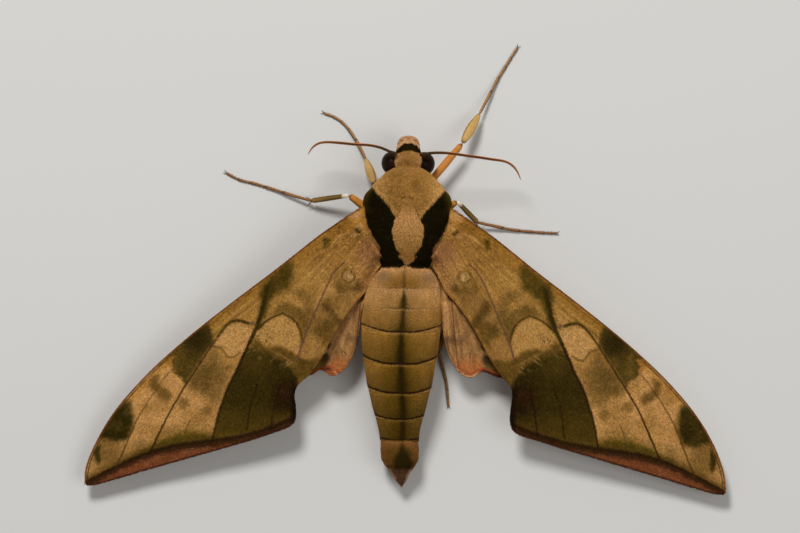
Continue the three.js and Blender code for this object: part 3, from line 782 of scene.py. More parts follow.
LEFT_HINDWING_OUT = 1.3  # how much further out the left hindwing's inner edge lies
# How much farther back than the traced shape each forewing's outer margin lies.
MARGIN_OUT = {"left": -0.15, "right": 0.5}
# How much farther from the body the margin's inner corner lies.
CORNER_OUT = {"left": 0.42, "right": -0.28}
# Veins and marks of the right forewing, in its own x and y.
VEIN_CELL = [
    (16.6, 0.6), (18.0, -0.9), (19.0, -2.6), (19.4, -4.3), (19.8, -5.9), (20.4, -7.9),
    (21.4, -10.0), (22.4, -12.2), (23.2, -14.0), (24.0, -15.5), (24.8, -17.3), (25.6, -19.6),
    (26.1, -21.4), (26.5, -23.6),
]
VEIN_INNER = [
    (8.4, 1.1), (9.5, 0.0), (10.1, -0.8), (10.9, -2.4), (11.8, -4.4), (12.7, -6.5),
    (13.6, -8.5), (14.3, -10.3), (14.9, -12.4),
]
VEIN_ARC = [
    (21.7, -7.5), (22.5, -7.2), (23.3, -7.1), (24.0, -7.3), (24.8, -8.0), (25.8, -9.3),
    (26.7, -10.7), (28.3, -13.1), (29.6, -15.1), (30.7, -16.8), (32.0, -19.0), (33.4, -21.8),
    (35.0, -25.2),
]
VEIN_OUTER = [
    (31.4, -13.4), (32.6, -14.4), (33.6, -15.7), (35.2, -18.0), (36.4, -19.9), (37.1, -21.2),
    (37.9, -23.1), (38.8, -25.2), (39.9, -27.8),
]
VEIN_SHORT = [(29.6, -21.0), (30.0, -21.9), (30.3, -22.8)]
VEIN_DARK_A = [(17.0, -16.0), (17.8, -18.6), (18.0, -20.0), (18.3, -22.3)]
VEIN_DARK_B = [(20.3, -15.8), (21.2, -18.5), (21.5, -20.0), (21.8, -22.4)]
ARCH_RIDGE = [
    (14.3, -9.6), (14.4, -8.7), (14.9, -7.5), (15.7, -6.7), (16.9, -6.1), (18.0, -6.5),
    (19.2, -7.2), (20.3, -8.3),
]
RIDGE_FOOT = [(14.9, -7.5), (14.5, -8.5), (14.4, -10.0)]
BEYOND_CELL = VEIN_CELL[5:] + [(44.0, -24.0), (44.0, -8.0)]
DARK_PATCH = [
    (13.8, -19.2), (14.5, -16.8), (15.0, -14.8), (15.9, -13.5), (16.9, -12.7), (18.2, -12.0),
    (19.2, -11.7), (20.4, -11.6), (21.5, -10.9), (23.4, -12.2), (24.2, -14.0), (25.0, -15.5),
    (25.8, -17.3), (26.6, -19.6), (27.6, -23.6), (24.0, -22.8), (20.0, -22.8), (16.5, -21.9),
    (15.0, -21.1), (13.8, -20.4),
]
OLIVE_TOP = [
    (11.9, -12.4), (13.0, -12.5), (14.0, -12.3), (14.9, -12.0), (15.8, -11.2), (17.0, -10.7),
    (17.8, -10.8), (18.7, -11.0), (19.6, -10.7), (20.6, -9.6), (21.2, -10.0), (22.0, -12.2),
    (19.0, -13.2), (16.4, -14.6), (15.0, -17.6), (13.0, -15.2),
]
CRESCENT = [
    (14.3, -9.6), (14.5, -8.4), (15.5, -7.4), (17.0, -6.5), (18.3, -6.9), (19.6, -7.9),
    (20.6, -9.0), (19.8, -9.9), (18.4, -10.4), (17.2, -10.6), (15.8, -11.1), (14.6, -11.6),
]
CRESCENT_INNER = [
    (11.4, -9.6), (12.3, -9.0), (13.3, -8.9), (13.9, -9.6), (14.6, -11.6), (14.4, -12.2),
    (13.4, -12.3), (11.8, -12.0),
]
OLIVE_ARCH = [
    (14.0, -9.9), (13.7, -8.4), (13.5, -6.8), (14.2, -5.6), (15.3, -4.9), (16.4, -4.6),
    (17.7, -5.2), (18.6, -6.4), (17.4, -6.2), (16.6, -6.2), (15.6, -6.8), (14.8, -7.6),
    (14.4, -8.9),
]
INNER_DARK = [
    (9.4, -7.2), (11.0, -6.8), (12.6, -8.0), (12.4, -9.6), (11.6, -10.8), (10.4, -9.8),
]
ARCH_FOOT = [
    (12.4, -5.9), (13.6, -5.4), (13.9, -8.0), (14.3, -10.3), (13.2, -9.6), (12.4, -8.6), (11.8, -7.2),
]
ARCH_CLOUD = [
    (12.6, -6.2), (12.5, -4.7), (13.0, -3.5), (14.2, -2.6), (15.6, -2.8), (15.8, -3.5),
    (14.6, -4.1), (14.0, -5.0), (13.9, -6.5), (14.2, -8.0), (13.4, -7.6),
]
COSTAL_GREEN = [
    (15.5, 0.6), (16.3, 1.0), (17.2, 0.3), (18.4, -0.9), (19.6, -2.2), (20.0, -3.5),
    (19.9, -5.0), (20.1, -6.4), (20.5, -7.7), (19.9, -7.8), (19.2, -6.1), (18.6, -4.4),
    (17.3, -3.2), (15.9, -2.4), (15.4, -0.8),
]
GREEN_CORE = [
    (18.6, -1.4), (19.7, -2.4), (20.0, -3.6), (19.9, -5.0), (20.5, -7.7), (19.9, -7.8),
    (19.2, -6.1), (18.8, -4.2), (18.2, -2.4),
]
COSTAL_PATCH = [
    (27.2, -7.4), (26.7, -8.6), (26.5, -10.2), (27.3, -11.3), (28.6, -13.3), (29.8, -15.2),
    (30.2, -16.0), (30.8, -15.1), (31.6, -14.6), (32.3, -13.6), (33.1, -12.8), (33.6, -11.8),
    (32.2, -10.8), (30.6, -9.5), (29.1, -8.3),
]
COSTAL_PATCH_EDGE = [(32.1, -14.3), (32.1, -12.9), (31.6, -12.2), (32.6, -12.0), (33.8, -12.4)]
DIFFUSE = [
    (26.3, -10.8), (27.5, -11.8), (29.6, -15.1), (29.9, -16.3), (28.9, -16.9), (28.3, -16.2),
    (27.6, -17.3), (26.6, -16.6), (26.0, -15.2), (25.9, -13.6), (25.2, -12.4),
]
CELL_SHADE = [
    (24.0, -13.4), (26.8, -12.6), (28.4, -13.4), (29.8, -15.4), (29.6, -16.8), (28.0, -17.4),
    (26.8, -19.0), (25.4, -18.2), (24.2, -15.4),
]
CELL_PALE = [
    (20.6, -8.8), (21.4, -8.1), (23.2, -7.6), (24.5, -7.9), (25.6, -9.2), (26.0, -10.5),
    (25.3, -10.9), (24.4, -12.0), (23.8, -12.1), (23.1, -11.7), (22.6, -12.1), (21.8, -10.5),
]
CELL_EDGE = [(22.8, -11.6), (23.5, -12.1), (24.4, -12.2), (25.0, -11.4), (25.4, -10.9), (26.4, -10.7)]
SMUDGE_BAND = [
    (33.9, -14.7), (34.7, -14.9), (35.2, -15.5), (35.0, -16.8), (34.0, -17.7), (32.8, -18.3),
    (32.2, -17.7), (32.7, -16.8), (33.9, -16.2), (34.0, -15.6),
]
SUBAPICAL = [
    (38.0, -18.4), (37.6, -19.5), (37.4, -20.5), (37.6, -22.3), (38.3, -23.6), (39.7, -23.9),
    (41.5, -23.6), (42.1, -22.9), (41.0, -20.9), (40.0, -19.5), (38.9, -18.5),
]
APICAL_DASH = [
    (42.0, -24.4), (42.5, -24.9), (42.8, -25.6), (42.7, -26.5), (42.2, -27.2), (41.9, -26.7),
    (42.0, -25.7),
]
BAND_TOP = [
    (18.0, -20.6), (20.6, -21.6), (23.6, -22.5), (25.4, -22.9), (26.8, -22.9), (28.0, -22.7),
    (29.6, -22.6), (31.1, -22.8), (32.4, -23.3), (33.7, -23.8), (35.0, -24.6), (36.7, -25.3),
    (38.3, -26.4), (40.0, -27.2), (42.2, -28.7), (43.8, -29.7),
]
BAND_FOOT = [
    (15.3, -21.0), (17.5, -22.0), (20.0, -22.85), (22.1, -23.4), (24.0, -23.75), (26.1, -24.1),
    (28.3, -24.4), (30.3, -24.65), (32.0, -24.95), (33.6, -25.3), (35.2, -25.8), (36.9, -26.4),
    (38.4, -27.1), (39.6, -27.7), (41.0, -28.4), (42.3, -29.1), (43.8, -29.85),
]
DARK_BAND_INNER = [
    (10.7, -4.1), (11.5, -4.3), (11.7, -5.0), (10.5, -6.5), (9.7, -7.6), (8.8, -7.9),
    (8.9, -6.9), (9.9, -5.6),
]
SPOT_SHADE = [
    (6.4, -1.2), (7.1, -1.9), (8.7, -2.1), (9.5, -1.2), (9.9, -2.4), (9.5, -3.4), (7.9, -3.4),
    (6.4, -2.5),
]
INNER_SHADE = [
    (6.8, -3.4), (8.8, -3.4), (10.8, -3.6), (11.9, -5.4), (13.0, -8.6), (13.2, -9.2),
    (10.4, -9.4), (8.4, -6.6),
]
OCHRE = (160, 117, 56)
OUTER_TAN = (182, 134, 76)
CRESCENT_TAN = (172, 129, 70)
DARK = (48, 37, 6)
DARKEST = (30, 17, 4)
RED_EDGE = (112, 62, 34)
DARK_LINE = (34, 19, 6)
COSTA_EDGE = (108, 60, 24)
# [outline, tone, strength, softness], painted in this order.
FOREWING_PATCHES = [
    (SPOT_SHADE, (98, 71, 30), 0.7, 0.5),
    (INNER_SHADE, (120, 86, 42), 0.6, 0.7),
    (ARCH_CLOUD, (110, 80, 34), 0.62, 0.5),
    (OLIVE_ARCH, (84, 62, 22), 0.62, 0.42),
    (ARCH_FOOT, (96, 71, 28), 0.45, 0.45),
    (INNER_DARK, (84, 60, 20), 0.7, 0.6),
    (CRESCENT, CRESCENT_TAN, 0.9, 0.2),
    (CRESCENT_INNER, (150, 108, 56), 0.8, 0.25),
    (DARK_BAND_INNER, (70, 48, 14), 0.62, 0.45),
    (COSTAL_GREEN, (68, 52, 12), 0.86, 0.7),
    (GREEN_CORE, (50, 40, 8), 0.45, 0.5),
    (OLIVE_TOP, (86, 62, 20), 0.88, 0.35),
    (CELL_SHADE, (96, 70, 28), 0.6, 0.9),
    (CELL_PALE, SANDY, 0.85, 0.3),
    (DIFFUSE, (78, 58, 20), 0.42, 0.8),
    (COSTAL_PATCH, (78, 59, 18), 0.92, 0.36),
    (COSTAL_PATCH_EDGE, (178, 120, 54), 0.6, 0.2),
    (SMUDGE_BAND, (96, 69, 26), 0.8, 0.4),
    (SUBAPICAL, (46, 36, 6), 0.95, 0.55),
    (APICAL_DASH, (54, 42, 8), 0.9, 0.25),
]
# [centre, radius, tone, strength, softness].
FOREWING_SPOTS = [
    ((5.2, -0.8), 2.4, (184, 136, 82), 0.6, 1.4),
    ((4.9, 2.6), 1.7, (150, 104, 68), 0.7, 1.0),
    ((6.7, 7.6), 0.8, (196, 150, 98), 0.7, 0.4),
    ((6.0, 6.2), 0.4, PALE_BUFF, 0.5, 0.3),
    ((6.9, 5.0), 0.35, (204, 160, 100), 0.6, 0.25),
    ((10.8, 4.0), 0.4, (54, 44, 8), 0.9, 0.25),
    ((10.9, 3.2), 0.4, (84, 62, 18), 0.7, 0.3),
    ((9.6, 3.2), 0.3, (96, 70, 24), 0.6, 0.3),
    ((27.4, -19.6), 0.7, (104, 76, 32), 0.7, 0.5),
    ((30.5, -18.6), 0.7, (104, 76, 32), 0.7, 0.5),
    ((29.3, -20.6), 1.4, (150, 110, 56), 0.5, 0.9),
    ((12.2, -12.2), 1.0, (78, 54, 18), 0.6, 0.8),
    ((41.2, -25.2), 2.4, (108, 78, 34), 0.75, 1.5),
    ((42.2, -22.6), 1.5, (112, 80, 32), 0.7, 1.1),
    ((37.0, -24.6), 0.9, (132, 98, 52), 0.5, 0.6),
    ((36.4, -24.0), 0.6, (136, 104, 64), 0.5, 0.4),
    ((21.1, -7.5), 0.32, (96, 66, 50), 0.8, 0.2),
]
# [line, tone, width at its start and end, strength].
FOREWING_LINES = [
    (VEIN_CELL[2:7], (48, 37, 8), 0.5, 0.45, 0.9),
    (VEIN_CELL[6:], (40, 25, 8), 0.34, 0.16, 0.92),
    (VEIN_INNER, (96, 64, 50), 0.12, 0.24, 0.8),
    (VEIN_ARC[:6], (52, 40, 10), 0.38, 0.22, 0.88),
    (VEIN_ARC[5:], (44, 26, 8), 0.1, 0.2, 0.9),
    (VEIN_OUTER, (70, 42, 14), 0.0, 0.18, 0.75),
    (VEIN_SHORT, (80, 54, 22), 0.1, 0.14, 0.7),
    (VEIN_DARK_A, (20, 11, 3), 0.04, 0.12, 0.75),
    (VEIN_DARK_B, (20, 11, 3), 0.04, 0.12, 0.75),
    (ARCH_RIDGE, (58, 42, 10), 0.2, 0.24, 0.8),
    (RIDGE_FOOT, (70, 50, 16), 0.4, 0.3, 0.35),
    (CELL_EDGE, (96, 70, 32), 0.22, 0.3, 0.6),
    ([(6.1, 5.35), (6.55, 5.65)], (22, 14, 5), 0.28, 0.34, 1.0),
    ([(7.8, 5.1), (9.0, 4.7), (9.7, 3.9)], (208, 166, 104), 0.2, 0.16, 0.6),
]
VEINS = [VEIN_CELL, VEIN_INNER, VEIN_ARC, VEIN_OUTER, VEIN_SHORT, VEIN_DARK_A, VEIN_DARK_B]
VEINS += [
    [(7.5, 5.9), (12.5, 2.6), (19.1, -2.6), (27.0, -8.9), (33.6, -15.0)],
    [(7.0, 4.6), (11.8, 1.2), (17.0, -3.6), (21.7, -7.5)],
    [(5.6, 1.2), (8.2, -2.4), (11.0, -7.5), (13.4, -12.5), (14.6, -15.0)],
    [(34.2, -17.8), (37.4, -22.9), (40.6, -27.9)],
    [(19.9, -6.6), (18.2, -11.0), (17.0, -16.0)],
]


def wing_place(x, y):
    """How far a point is along the wing, from 0 to 1, and behind its axis in millimetres."""
    dx, dy = x - WING_ROOT[0], y - WING_ROOT[1]
    along = np.clip((dx * WING_AXIS[0] + dy * WING_AXIS[1]) / WING_SPAN, 0.0, 1.0)
    return along, dx * WING_AXIS[1] - dy * WING_AXIS[0]


def forewing_height(x, y):
    """Highest at the root and arched across; lower at the root's front and by the abdomen."""
    along, behind = wing_place(x, y)
    arch = np.maximum(1.0 - ((behind - 5.0) / 12.0) ** 2, -1.0)
    height = APEX_HEIGHT + (ROOT_HEIGHT - APEX_HEIGHT) * (1 - along) ** 1.5 + 0.9 * (1 - along) * arch
    height -= 1.5 * fade(5.0, 0.0, np.hypot(x - 5.2, y - 9.0))
    return height - 1.6 * fade(1.7, 0.1, line_distance(x, y, FOREWING_TRAIL[:5]))


def hindwing_height(x, y):
    """Below the forewing, and farther below it towards the rear."""
    return forewing_height(x, y) - 1.3 - 0.12 * np.maximum(0.0, -6.0 - y)


def varying_stroke(x, y, line, start, end):
    """A line whose width goes from start to end."""
    best = np.full(len(x), 1e9)
    steps = len(line) - 1
    for index, (near, far) in enumerate(zip(line[:-1], line[1:])):
        width = start + (end - start) * (index + 0.5) / steps
        best = np.minimum(best, line_distance(x, y, [near, far]) - width / 2)
    return 1.0 - fade(-0.06, 0.12, best)


def fan(x, y, centre, width, seed):
    """Noise drawn out in fine lines that spread from a point."""
    turn = np.arctan2(y - centre[1], x - centre[0])
    far = np.hypot(x - centre[0], y - centre[1])
    return noise(flat(turn * 12.0, far * 0.07), width, seed)


def costa_tones(tones, x, y, seed):
    """The strip behind the front edge: ochre, with fine lines along it and a reddish rim."""
    along, _ = wing_place(x, y)
    ahead = line_distance(x, y, fine(FOREWING_LEAD, 60))
    paint(tones, (146, 102, 38), 0.75 * fade(2.4, 1.2, ahead) * fade(0.62, 0.5, along))
    lined = fade(19.0, 22.0, x) * fade(34.0, 27.0, x)
    for offset, tone, strength in (
        (0.55, (112, 78, 28), 0.6), (1.0, (152, 110, 46), 0.6), (1.45, (190, 150, 98), 0.4),
        (1.95, (112, 80, 32), 0.6), (2.6, (128, 92, 40), 0.5),
    ):
        wave = 0.15 * noise(flat(x, y), 2.0, seed)
        paint(tones, tone, strength * lined * fade(0.2, 0.04, np.abs(ahead - offset + wave)))
    outer = fade(31.0, 33.5, x)
    ochre = fade(0.5, 0.1, np.abs(ahead - 0.8)) * fade(-21.0, -17.5, y)
    paint(tones, (176, 120, 50), 0.5 * outer * ochre)
    grey = fade(0.14, 0.04, np.abs(ahead - 0.5)) * fade(-17.5, -19.0, y)
    paint(tones, (160, 132, 108), 0.6 * outer * grey)
    return ahead


def margin_tones(tones, x, y, soft_x, soft_y, seed):
    """The outer margin: a green band, a dark ragged line and a reddish edge."""
    places = flat(x, y)
    foot = height_of(BAND_FOOT, x) - 0.12
    below = height_of(BAND_TOP, soft_x) - soft_y
    margin = x > 15.0
    green = fade(-0.5, 0.6, below) * margin * fade(17.5, 24.0, x)
    paint(tones, (118, 87, 36), 0.6 * fade(-2.2, 0.2, below) * fade(25.0, 28.0, x))
    paint(tones, (76, 62, 10), 0.9 * green)
    flecks = noise(places, 0.24, seed + 20)
    line = y - foot - 0.3 + 0.12 * flecks
    thin = np.interp(x, [15.0, 30.0, 43.0], [0.6, 0.56, 0.42])
    paint(tones, (78, 52, 20), 0.6 * margin * fade(1.5, 0.2, line) * (line > 0.0))
    paint(tones, DARK_LINE, 0.85 * margin * fade(1.0, 0.3, np.abs(line) / thin))
    past = foot - y - 0.05 * flecks
    paint(tones, (58, 33, 15), fade(-0.3, 0.0, past) * margin)
    paint(tones, RED_EDGE, fade(0.05, 0.8, past + 0.2 * flecks) * margin)
    worn = fade(0.1, 0.8, noise(places, (0.7, 0.3, 1.0), seed + 21))
    paint(tones, (132, 80, 50), 0.45 * worn * (foot - y > 0.2) * margin)
    rim = line_distance(x, y, fine(FOREWING_TRAIL, 90))
    paint(tones, (22, 12, 4), 0.92 * fade(15.7, 14.9, x) * fade(-15.4, -16.6, y))
    paint(tones, (58, 28, 12), 0.75 * margin * fade(0.2, 0.04, rim))
    paint(tones, (112, 70, 34), 0.4 * fade(0.16, 0.03, rim) * (y > -13.0))


def forewing_tones(x, y, seed):
    """The upper side of the right forewing."""
    places = flat(x, y)
    soft_x = x + 0.1 * noise(places, 0.9, seed) + 0.13 * noise(places, 0.24, seed + 1)
    soft_y = y + 0.1 * noise(places, 0.9, seed + 2) + 0.13 * noise(places, 0.24, seed + 3)
    along, _ = wing_place(x, y)
    tones = plain(OCHRE, x)
    paint(tones, OUTER_TAN, fade(0.42, 0.62, along))
    clouds = noise(places, (2.4, 1.6, 1.0), seed + 4)
    paint(tones, (138, 99, 44), 0.5 * fade(0.1, 0.9, clouds))
    paint(tones, (182, 136, 78), 0.5 * fade(0.1, 0.9, -clouds))
    streaks = fan(x, y, (3.0, 9.0), 0.2, seed + 5)
    paint(tones, (126, 90, 38), 0.42 * fade(0.0, 0.8, streaks) * fade(0.45, 0.1, along))
    paint(tones, SANDY, 0.34 * fade(0.0, 0.8, -streaks) * fade(0.45, 0.1, along))
    ahead = costa_tones(tones, x, y, seed)

    uneven = 1.0 + 0.16 * noise(places, 1.1, seed + 10) + 0.1 * noise(places, 0.4, seed + 11)
    for centre, radius, tone, strength, softness in FOREWING_SPOTS:
        paint(tones, tone, strength * spot(soft_x, soft_y, centre, radius, softness))
    for outline, tone, strength, softness in FOREWING_PATCHES:
        paint(tones, tone, strength * uneven * patch(soft_x, soft_y, outline, softness))

    # A pale spot ringed with brown, and brown scales at the crescent's outer end.
    ring = np.hypot(soft_x - 7.9, soft_y + 0.8)
    paint(tones, (104, 76, 34), 0.6 * fade(0.3, 0.1, np.abs(ring - 0.85)))
    paint(tones, (186, 148, 94), 0.9 * fade(0.75, 0.5, ring))
    paint(tones, (122, 90, 40), 0.7 * fade(0.16, 0.06, np.abs(ring - 0.36)) * (soft_x > 7.9))
    pepper = noise(places, 0.2, seed + 9)
    paint(tones, (92, 66, 26), 0.8 * fade(0.1, 0.6, pepper) * spot(x, y, (19.4, -9.3), 1.1, 0.7))

    # The dark patch: soft above, sharp at the vein, browner inside and greener near the margin.
    inner = 1 - patch(x, y, BEYOND_CELL, 0.07)
    dark = patch(soft_x, soft_y, DARK_PATCH, 0.4) * inner
    paint(tones, DARK, 0.97 * dark)
    paint(tones, DARKEST, 0.85 * dark * spot(x, y, (15.6, -17.4), 2.4, 1.5))
    paint(tones, (62, 30, 12), 0.35 * dark * spot(x, y, (16.6, -17.0), 1.2, 0.8))
    paint(tones, (73, 55, 14), 0.8 * dark * fade(-18.6, -21.6, y - 0.1 * (x - 18.0)))
    paint(tones, (78, 60, 18), 0.6 * dark * spot(x, y, (20.6, -12.6), 1.8, 1.4))
    paint(tones, (78, 60, 22), 0.5 * dark * fade(0.35, 0.9, pepper))
    costal = spot(soft_x, soft_y, (28.6, -9.8), 1.9, 1.5) * patch(soft_x, soft_y, COSTAL_PATCH, 0.4)
    paint(tones, (44, 34, 8), 0.95 * costal)
    upper = fade(1.3, 0.2, line_distance(x, y, DARK_PATCH[3:9])) * inner
    slant = flat(0.8 * x - 0.6 * y, 0.6 * x + 0.8 * y)
    scratch = fade(0.4, 0.8, noise(slant, (0.9, 0.14, 1.0), seed + 6))
    paint(tones, (172, 132, 84), 0.6 * scratch * upper)
    streak = stroke(soft_x, y, [(15.4, -12.9), (16.8, -12.0), (18.5, -11.2)], 0.16, 0.12)
    paint(tones, (166, 124, 74), 0.5 * streak)
    beside = fade(0.4, 0.1, line_distance(x, y, VEIN_CELL[7:11])) * (1 - inner)
    paint(tones, (96, 66, 46), 0.55 * beside)

    margin_tones(tones, x, y, soft_x, soft_y, seed)
    line_x = x + 0.3 * (soft_x - x)
    for line, tone, start, end, strength in FOREWING_LINES:
        paint(tones, tone, strength * varying_stroke(line_x, y, line, start, end))
    second_rim = fade(0.12, 0.03, np.abs(ahead - 0.42)) * fade(31.0, 33.5, x)
    paint(tones, (60, 38, 12), 0.7 * second_rim)
    paint(tones, COSTA_EDGE, 0.9 * fade(0.3, 0.14, ahead))
    paint(tones, PALE_RIM, 0.45 * fade(0.1, 0.02, ahead) * fade(0.3, 0.6, along))

    speckle = 0.09 * noise(places, 0.17, seed + 7) + 0.03 * noise(places, 0.5, seed + 8)
    tones *= (1.0 + speckle)[:, None]
    return tones


UNDERSIDE_TAN = (172, 124, 70)
HINDWING_TAN = (156, 113, 66)


def underside_tones(x, y, seed):
    """The hidden side: plain orange-tan with a browner outer third, as in related moths."""
    along, _ = wing_place(x, y)
    places = flat(x, y)
    tones = plain(UNDERSIDE_TAN, x)
    paint(tones, (146, 98, 56), fade(0.55, 0.8, along + 0.05 * noise(places, 3.0, seed)))
    clouds = fade(0.0, 0.6, noise(places, 1.2, seed + 1))
    paint(tones, (120, 82, 40), 0.6 * clouds * fade(0.35, 0.0, np.abs(along - 0.52)))
    tones *= (1.0 + 0.08 * noise(places, 0.3, seed + 2))[:, None]
    return tones


HINDWING_CREASE = [(5.75, -1.0), (6.1, -3.4), (6.35, -5.2), (6.6, -8.3), (7.0, -12.0), (7.4, -13.9)]


def hindwing_tones(x, y, seed):
    """The upper side of the right hindwing, most of it under the forewing."""
    places = flat(x, y)
    tones = plain(HINDWING_TAN, x)
    streaks = fan(x, y, (4.4, 9.0), 0.22, seed)
    paint(tones, (120, 82, 46), 0.6 * fade(-0.1, 0.7, streaks))
    paint(tones, (186, 140, 92), 0.5 * fade(0.1, 0.8, -streaks))
    fold = fade(0.65, 0.3, np.abs(x - np.interp(-y, [2.5, 8.0, 12.0], [5.5, 5.75, 6.2])))
    paint(tones, PALE_RIM, 0.65 * fold * fade(-10.5, -7.5, y))
    shade = fade(0.9, 0.2, np.abs(y + 9.5 + 0.25 * noise(places, 0.8, seed + 1)))
    paint(tones, (98, 70, 48), 0.6 * shade * fade(9.0, 7.0, x))
    lobe = fade(-11.2, -13.4, y + 0.3 * noise(places, 0.5, seed + 3)) * fade(11.0, 10.2, x)
    paint(tones, (168, 98, 52), 0.85 * lobe)
    for mark in ([(8.5, -11.3), (8.2, -11.7)], [(8.9, -11.1), (8.7, -11.9)]):
        paint(tones, (86, 60, 34), 0.6 * stroke(x, y, mark, 0.16, 0.08))
    dark = spot(x, y, (10.9, -10.4), 0.55, 0.25) + spot(x, y, (11.2, -12.2), 0.7, 0.4)
    paint(tones, (52, 36, 22), 0.9 * dark)
    paint(tones, (176, 158, 112), 0.8 * spot(x, y, (11.3, -11.2), 0.42, 0.2))
    paint(tones, (84, 66, 28), 0.75 * fade(10.4, 11.6, x) * fade(-11.5, -12.6, y))
    rim = line_distance(x, y, fine(HINDWING_TRAIL, 60))
    low = fade(-12.5, -13.5, y)
    paint(tones, (136, 62, 42), 0.8 * fade(0.6, 0.2, rim) * fade(9.6, 10.6, x))
    paint(tones, (150, 76, 36), 0.7 * low * fade(0.2, 0.06, np.abs(rim - 0.35)))
    paint(tones, (206, 150, 106), 0.75 * low * fade(0.2, 0.08, rim) * fade(10.4, 9.4, x))
    paint(tones, (58, 30, 18), 0.7 * fade(0.16, 0.05, rim) * fade(9.8, 10.6, x))
    # Painted shade along the crease beside the fold.
    paint(tones, (70, 46, 26), 0.8 * stroke(x, y, HINDWING_CREASE, 0.1, 0.09))
    tones *= (1.0 + 0.08 * noise(places, 0.2, seed + 2))[:, None]
    return tones


def vein_relief(x, y):
    """1 on the forewing's veins and 0 between them."""
    relief = np.zeros(len(x))
    for line in VEINS:
        relief = np.maximum(relief, np.exp(-((line_distance(x, y, line) / 0.16) ** 2)))
    return relief


def wing_rings(lead, trail, root_lead, root_trail, columns, root_columns, top_rows, under_rows):
    """The plan of a wing's rings: x, y and chord place for each point of a closed loop."""
    front, back = curve(lead, columns), curve(trail, columns)
    part = np.linspace(0.0, 1.0, root_columns, endpoint=False)[:, None]
    front = np.vstack([root_lead * (1 - part) + front[0] * part, front[:-1]])
    back = np.vstack([root_trail * (1 - part) + back[0] * part, back[:-1]])
    chord = np.concatenate([np.linspace(0, 1, top_rows), np.linspace(1, 0, under_rows)[1:-1]])
    plan = front[:, None, :] * (1 - chord)[None, :, None] + back[:, None, :] * chord[None, :, None]
    width = np.linalg.norm(front - back, axis=1)[:, None]
    upper = np.concatenate([np.ones(top_rows), -np.ones(under_rows - 2)])
    return plan, chord[None, :], width, upper[None, :]


def make_wing(kind, side, lead, trail, root_lead, root_trail, height, paint_top, columns, rows):
    """One wing; rows are the rows of points on its upper side and underneath."""
    sign = SIDES[side]
    seed = 40 if side == "left" else 70
    plan, chord, width, upper = wing_rings(
        lead, trail, np.array(root_lead), np.array(root_trail), columns, 14, *rows
    )
    x, y = plan[:, :, 0].ravel(), plan[:, :, 1].ravel()
    if kind == "hindwing" and side == "left":
        x = x + LEFT_HINDWING_OUT * fade(0.0, -6.0, y) * fade(15.0, 9.0, x)
    along, _ = wing_place(x, y)
    shape = plan.shape[:2]
    ahead = (chord * width).ravel()
    edge = np.minimum(ahead, ((1 - chord) * width).ravel())
    top = np.broadcast_to(upper, shape).ravel()
    round_off = np.sqrt(np.clip(1.0 - (1.0 - np.clip(edge / 0.16, 0.0, 1.0)) ** 2, 0.0, 1.0))
    costa = 0.17 * (1 - 0.6 * along) * np.exp(-((ahead / 0.55) ** 2))
    thick = (0.075 + costa) * round_off
    veins = vein_relief(x, y) if kind == "forewing" else np.zeros(len(x))
    places = flat(x, y)
    sag = 0.05 * noise(places, (2.6, 2.2, 1.0), seed) + 0.05 * veins * np.minimum(edge / 0.3, 1.0)
    if kind == "hindwing":
        pleat = np.sin((x - 0.28 * (y + 6.0)) * 3.1) * 0.07 * np.clip(edge / 0.8, 0.0, 1.0)
        fold_x = np.interp(-y, [2.0, 8.0, 12.0], [5.5, 5.75, 6.4])
        fold = 0.32 * np.exp(-(((x - fold_x) / 0.35) ** 2))
        crease_x = np.interp(-y, [3.4, 8.3, 12.5], [5.89, 6.51, 6.91])
        crease = -0.22 * np.exp(-(((x - crease_x) / 0.14) ** 2))
        sag = sag + pleat + (fold + crease) * fade(-13.5, -11.0, y) * np.minimum(edge / 0.25, 1)
    z = height(x, y) + sag + top * thick
    tones = np.where((top > 0)[:, None], paint_top(x, y, seed), underside_tones(x, y, seed))
    turn = sign * SWEEP
    dx, dy = x - WING_ROOT[0], y - WING_ROOT[1]
    if kind == "forewing":
        near_margin = fade(6.5, 0.5, y - height_of(BAND_FOOT, x))
        dy = dy - MARGIN_OUT[side] * near_margin * fade(12.0, 16.0, x)
        dx = dx + CORNER_OUT[side] * fade(-14.0, -18.0, y) * fade(21.0, 15.0, x)
    placed = np.column_stack(
        [
            sign * (WING_ROOT[0] + dx * math.cos(turn) - dy * math.sin(turn)),
            WING_ROOT[1] + dx * math.sin(turn) + dy * math.cos(turn),
            z,
        ]
    )
    lay_angle = math.atan2(WING_AXIS[1], WING_AXIS[0]) - LAY_TURN
    across = -x * math.sin(lay_angle) + y * math.cos(lay_angle)
    outward = x * math.cos(lay_angle) + y * math.sin(lay_angle)
    lay = np.column_stack([across, outward, top * 3.0])
    grid = placed.reshape(*shape, 3)
    points, faces = loft(grid)
    membrane = (points, faces, tones, lay)
    make_piece(f"{kind}_{side}_membrane", [membrane], WING_SCALES, [f"{kind}_{side}"])
    return grid, tones.reshape(*shape, 3), rows[0]


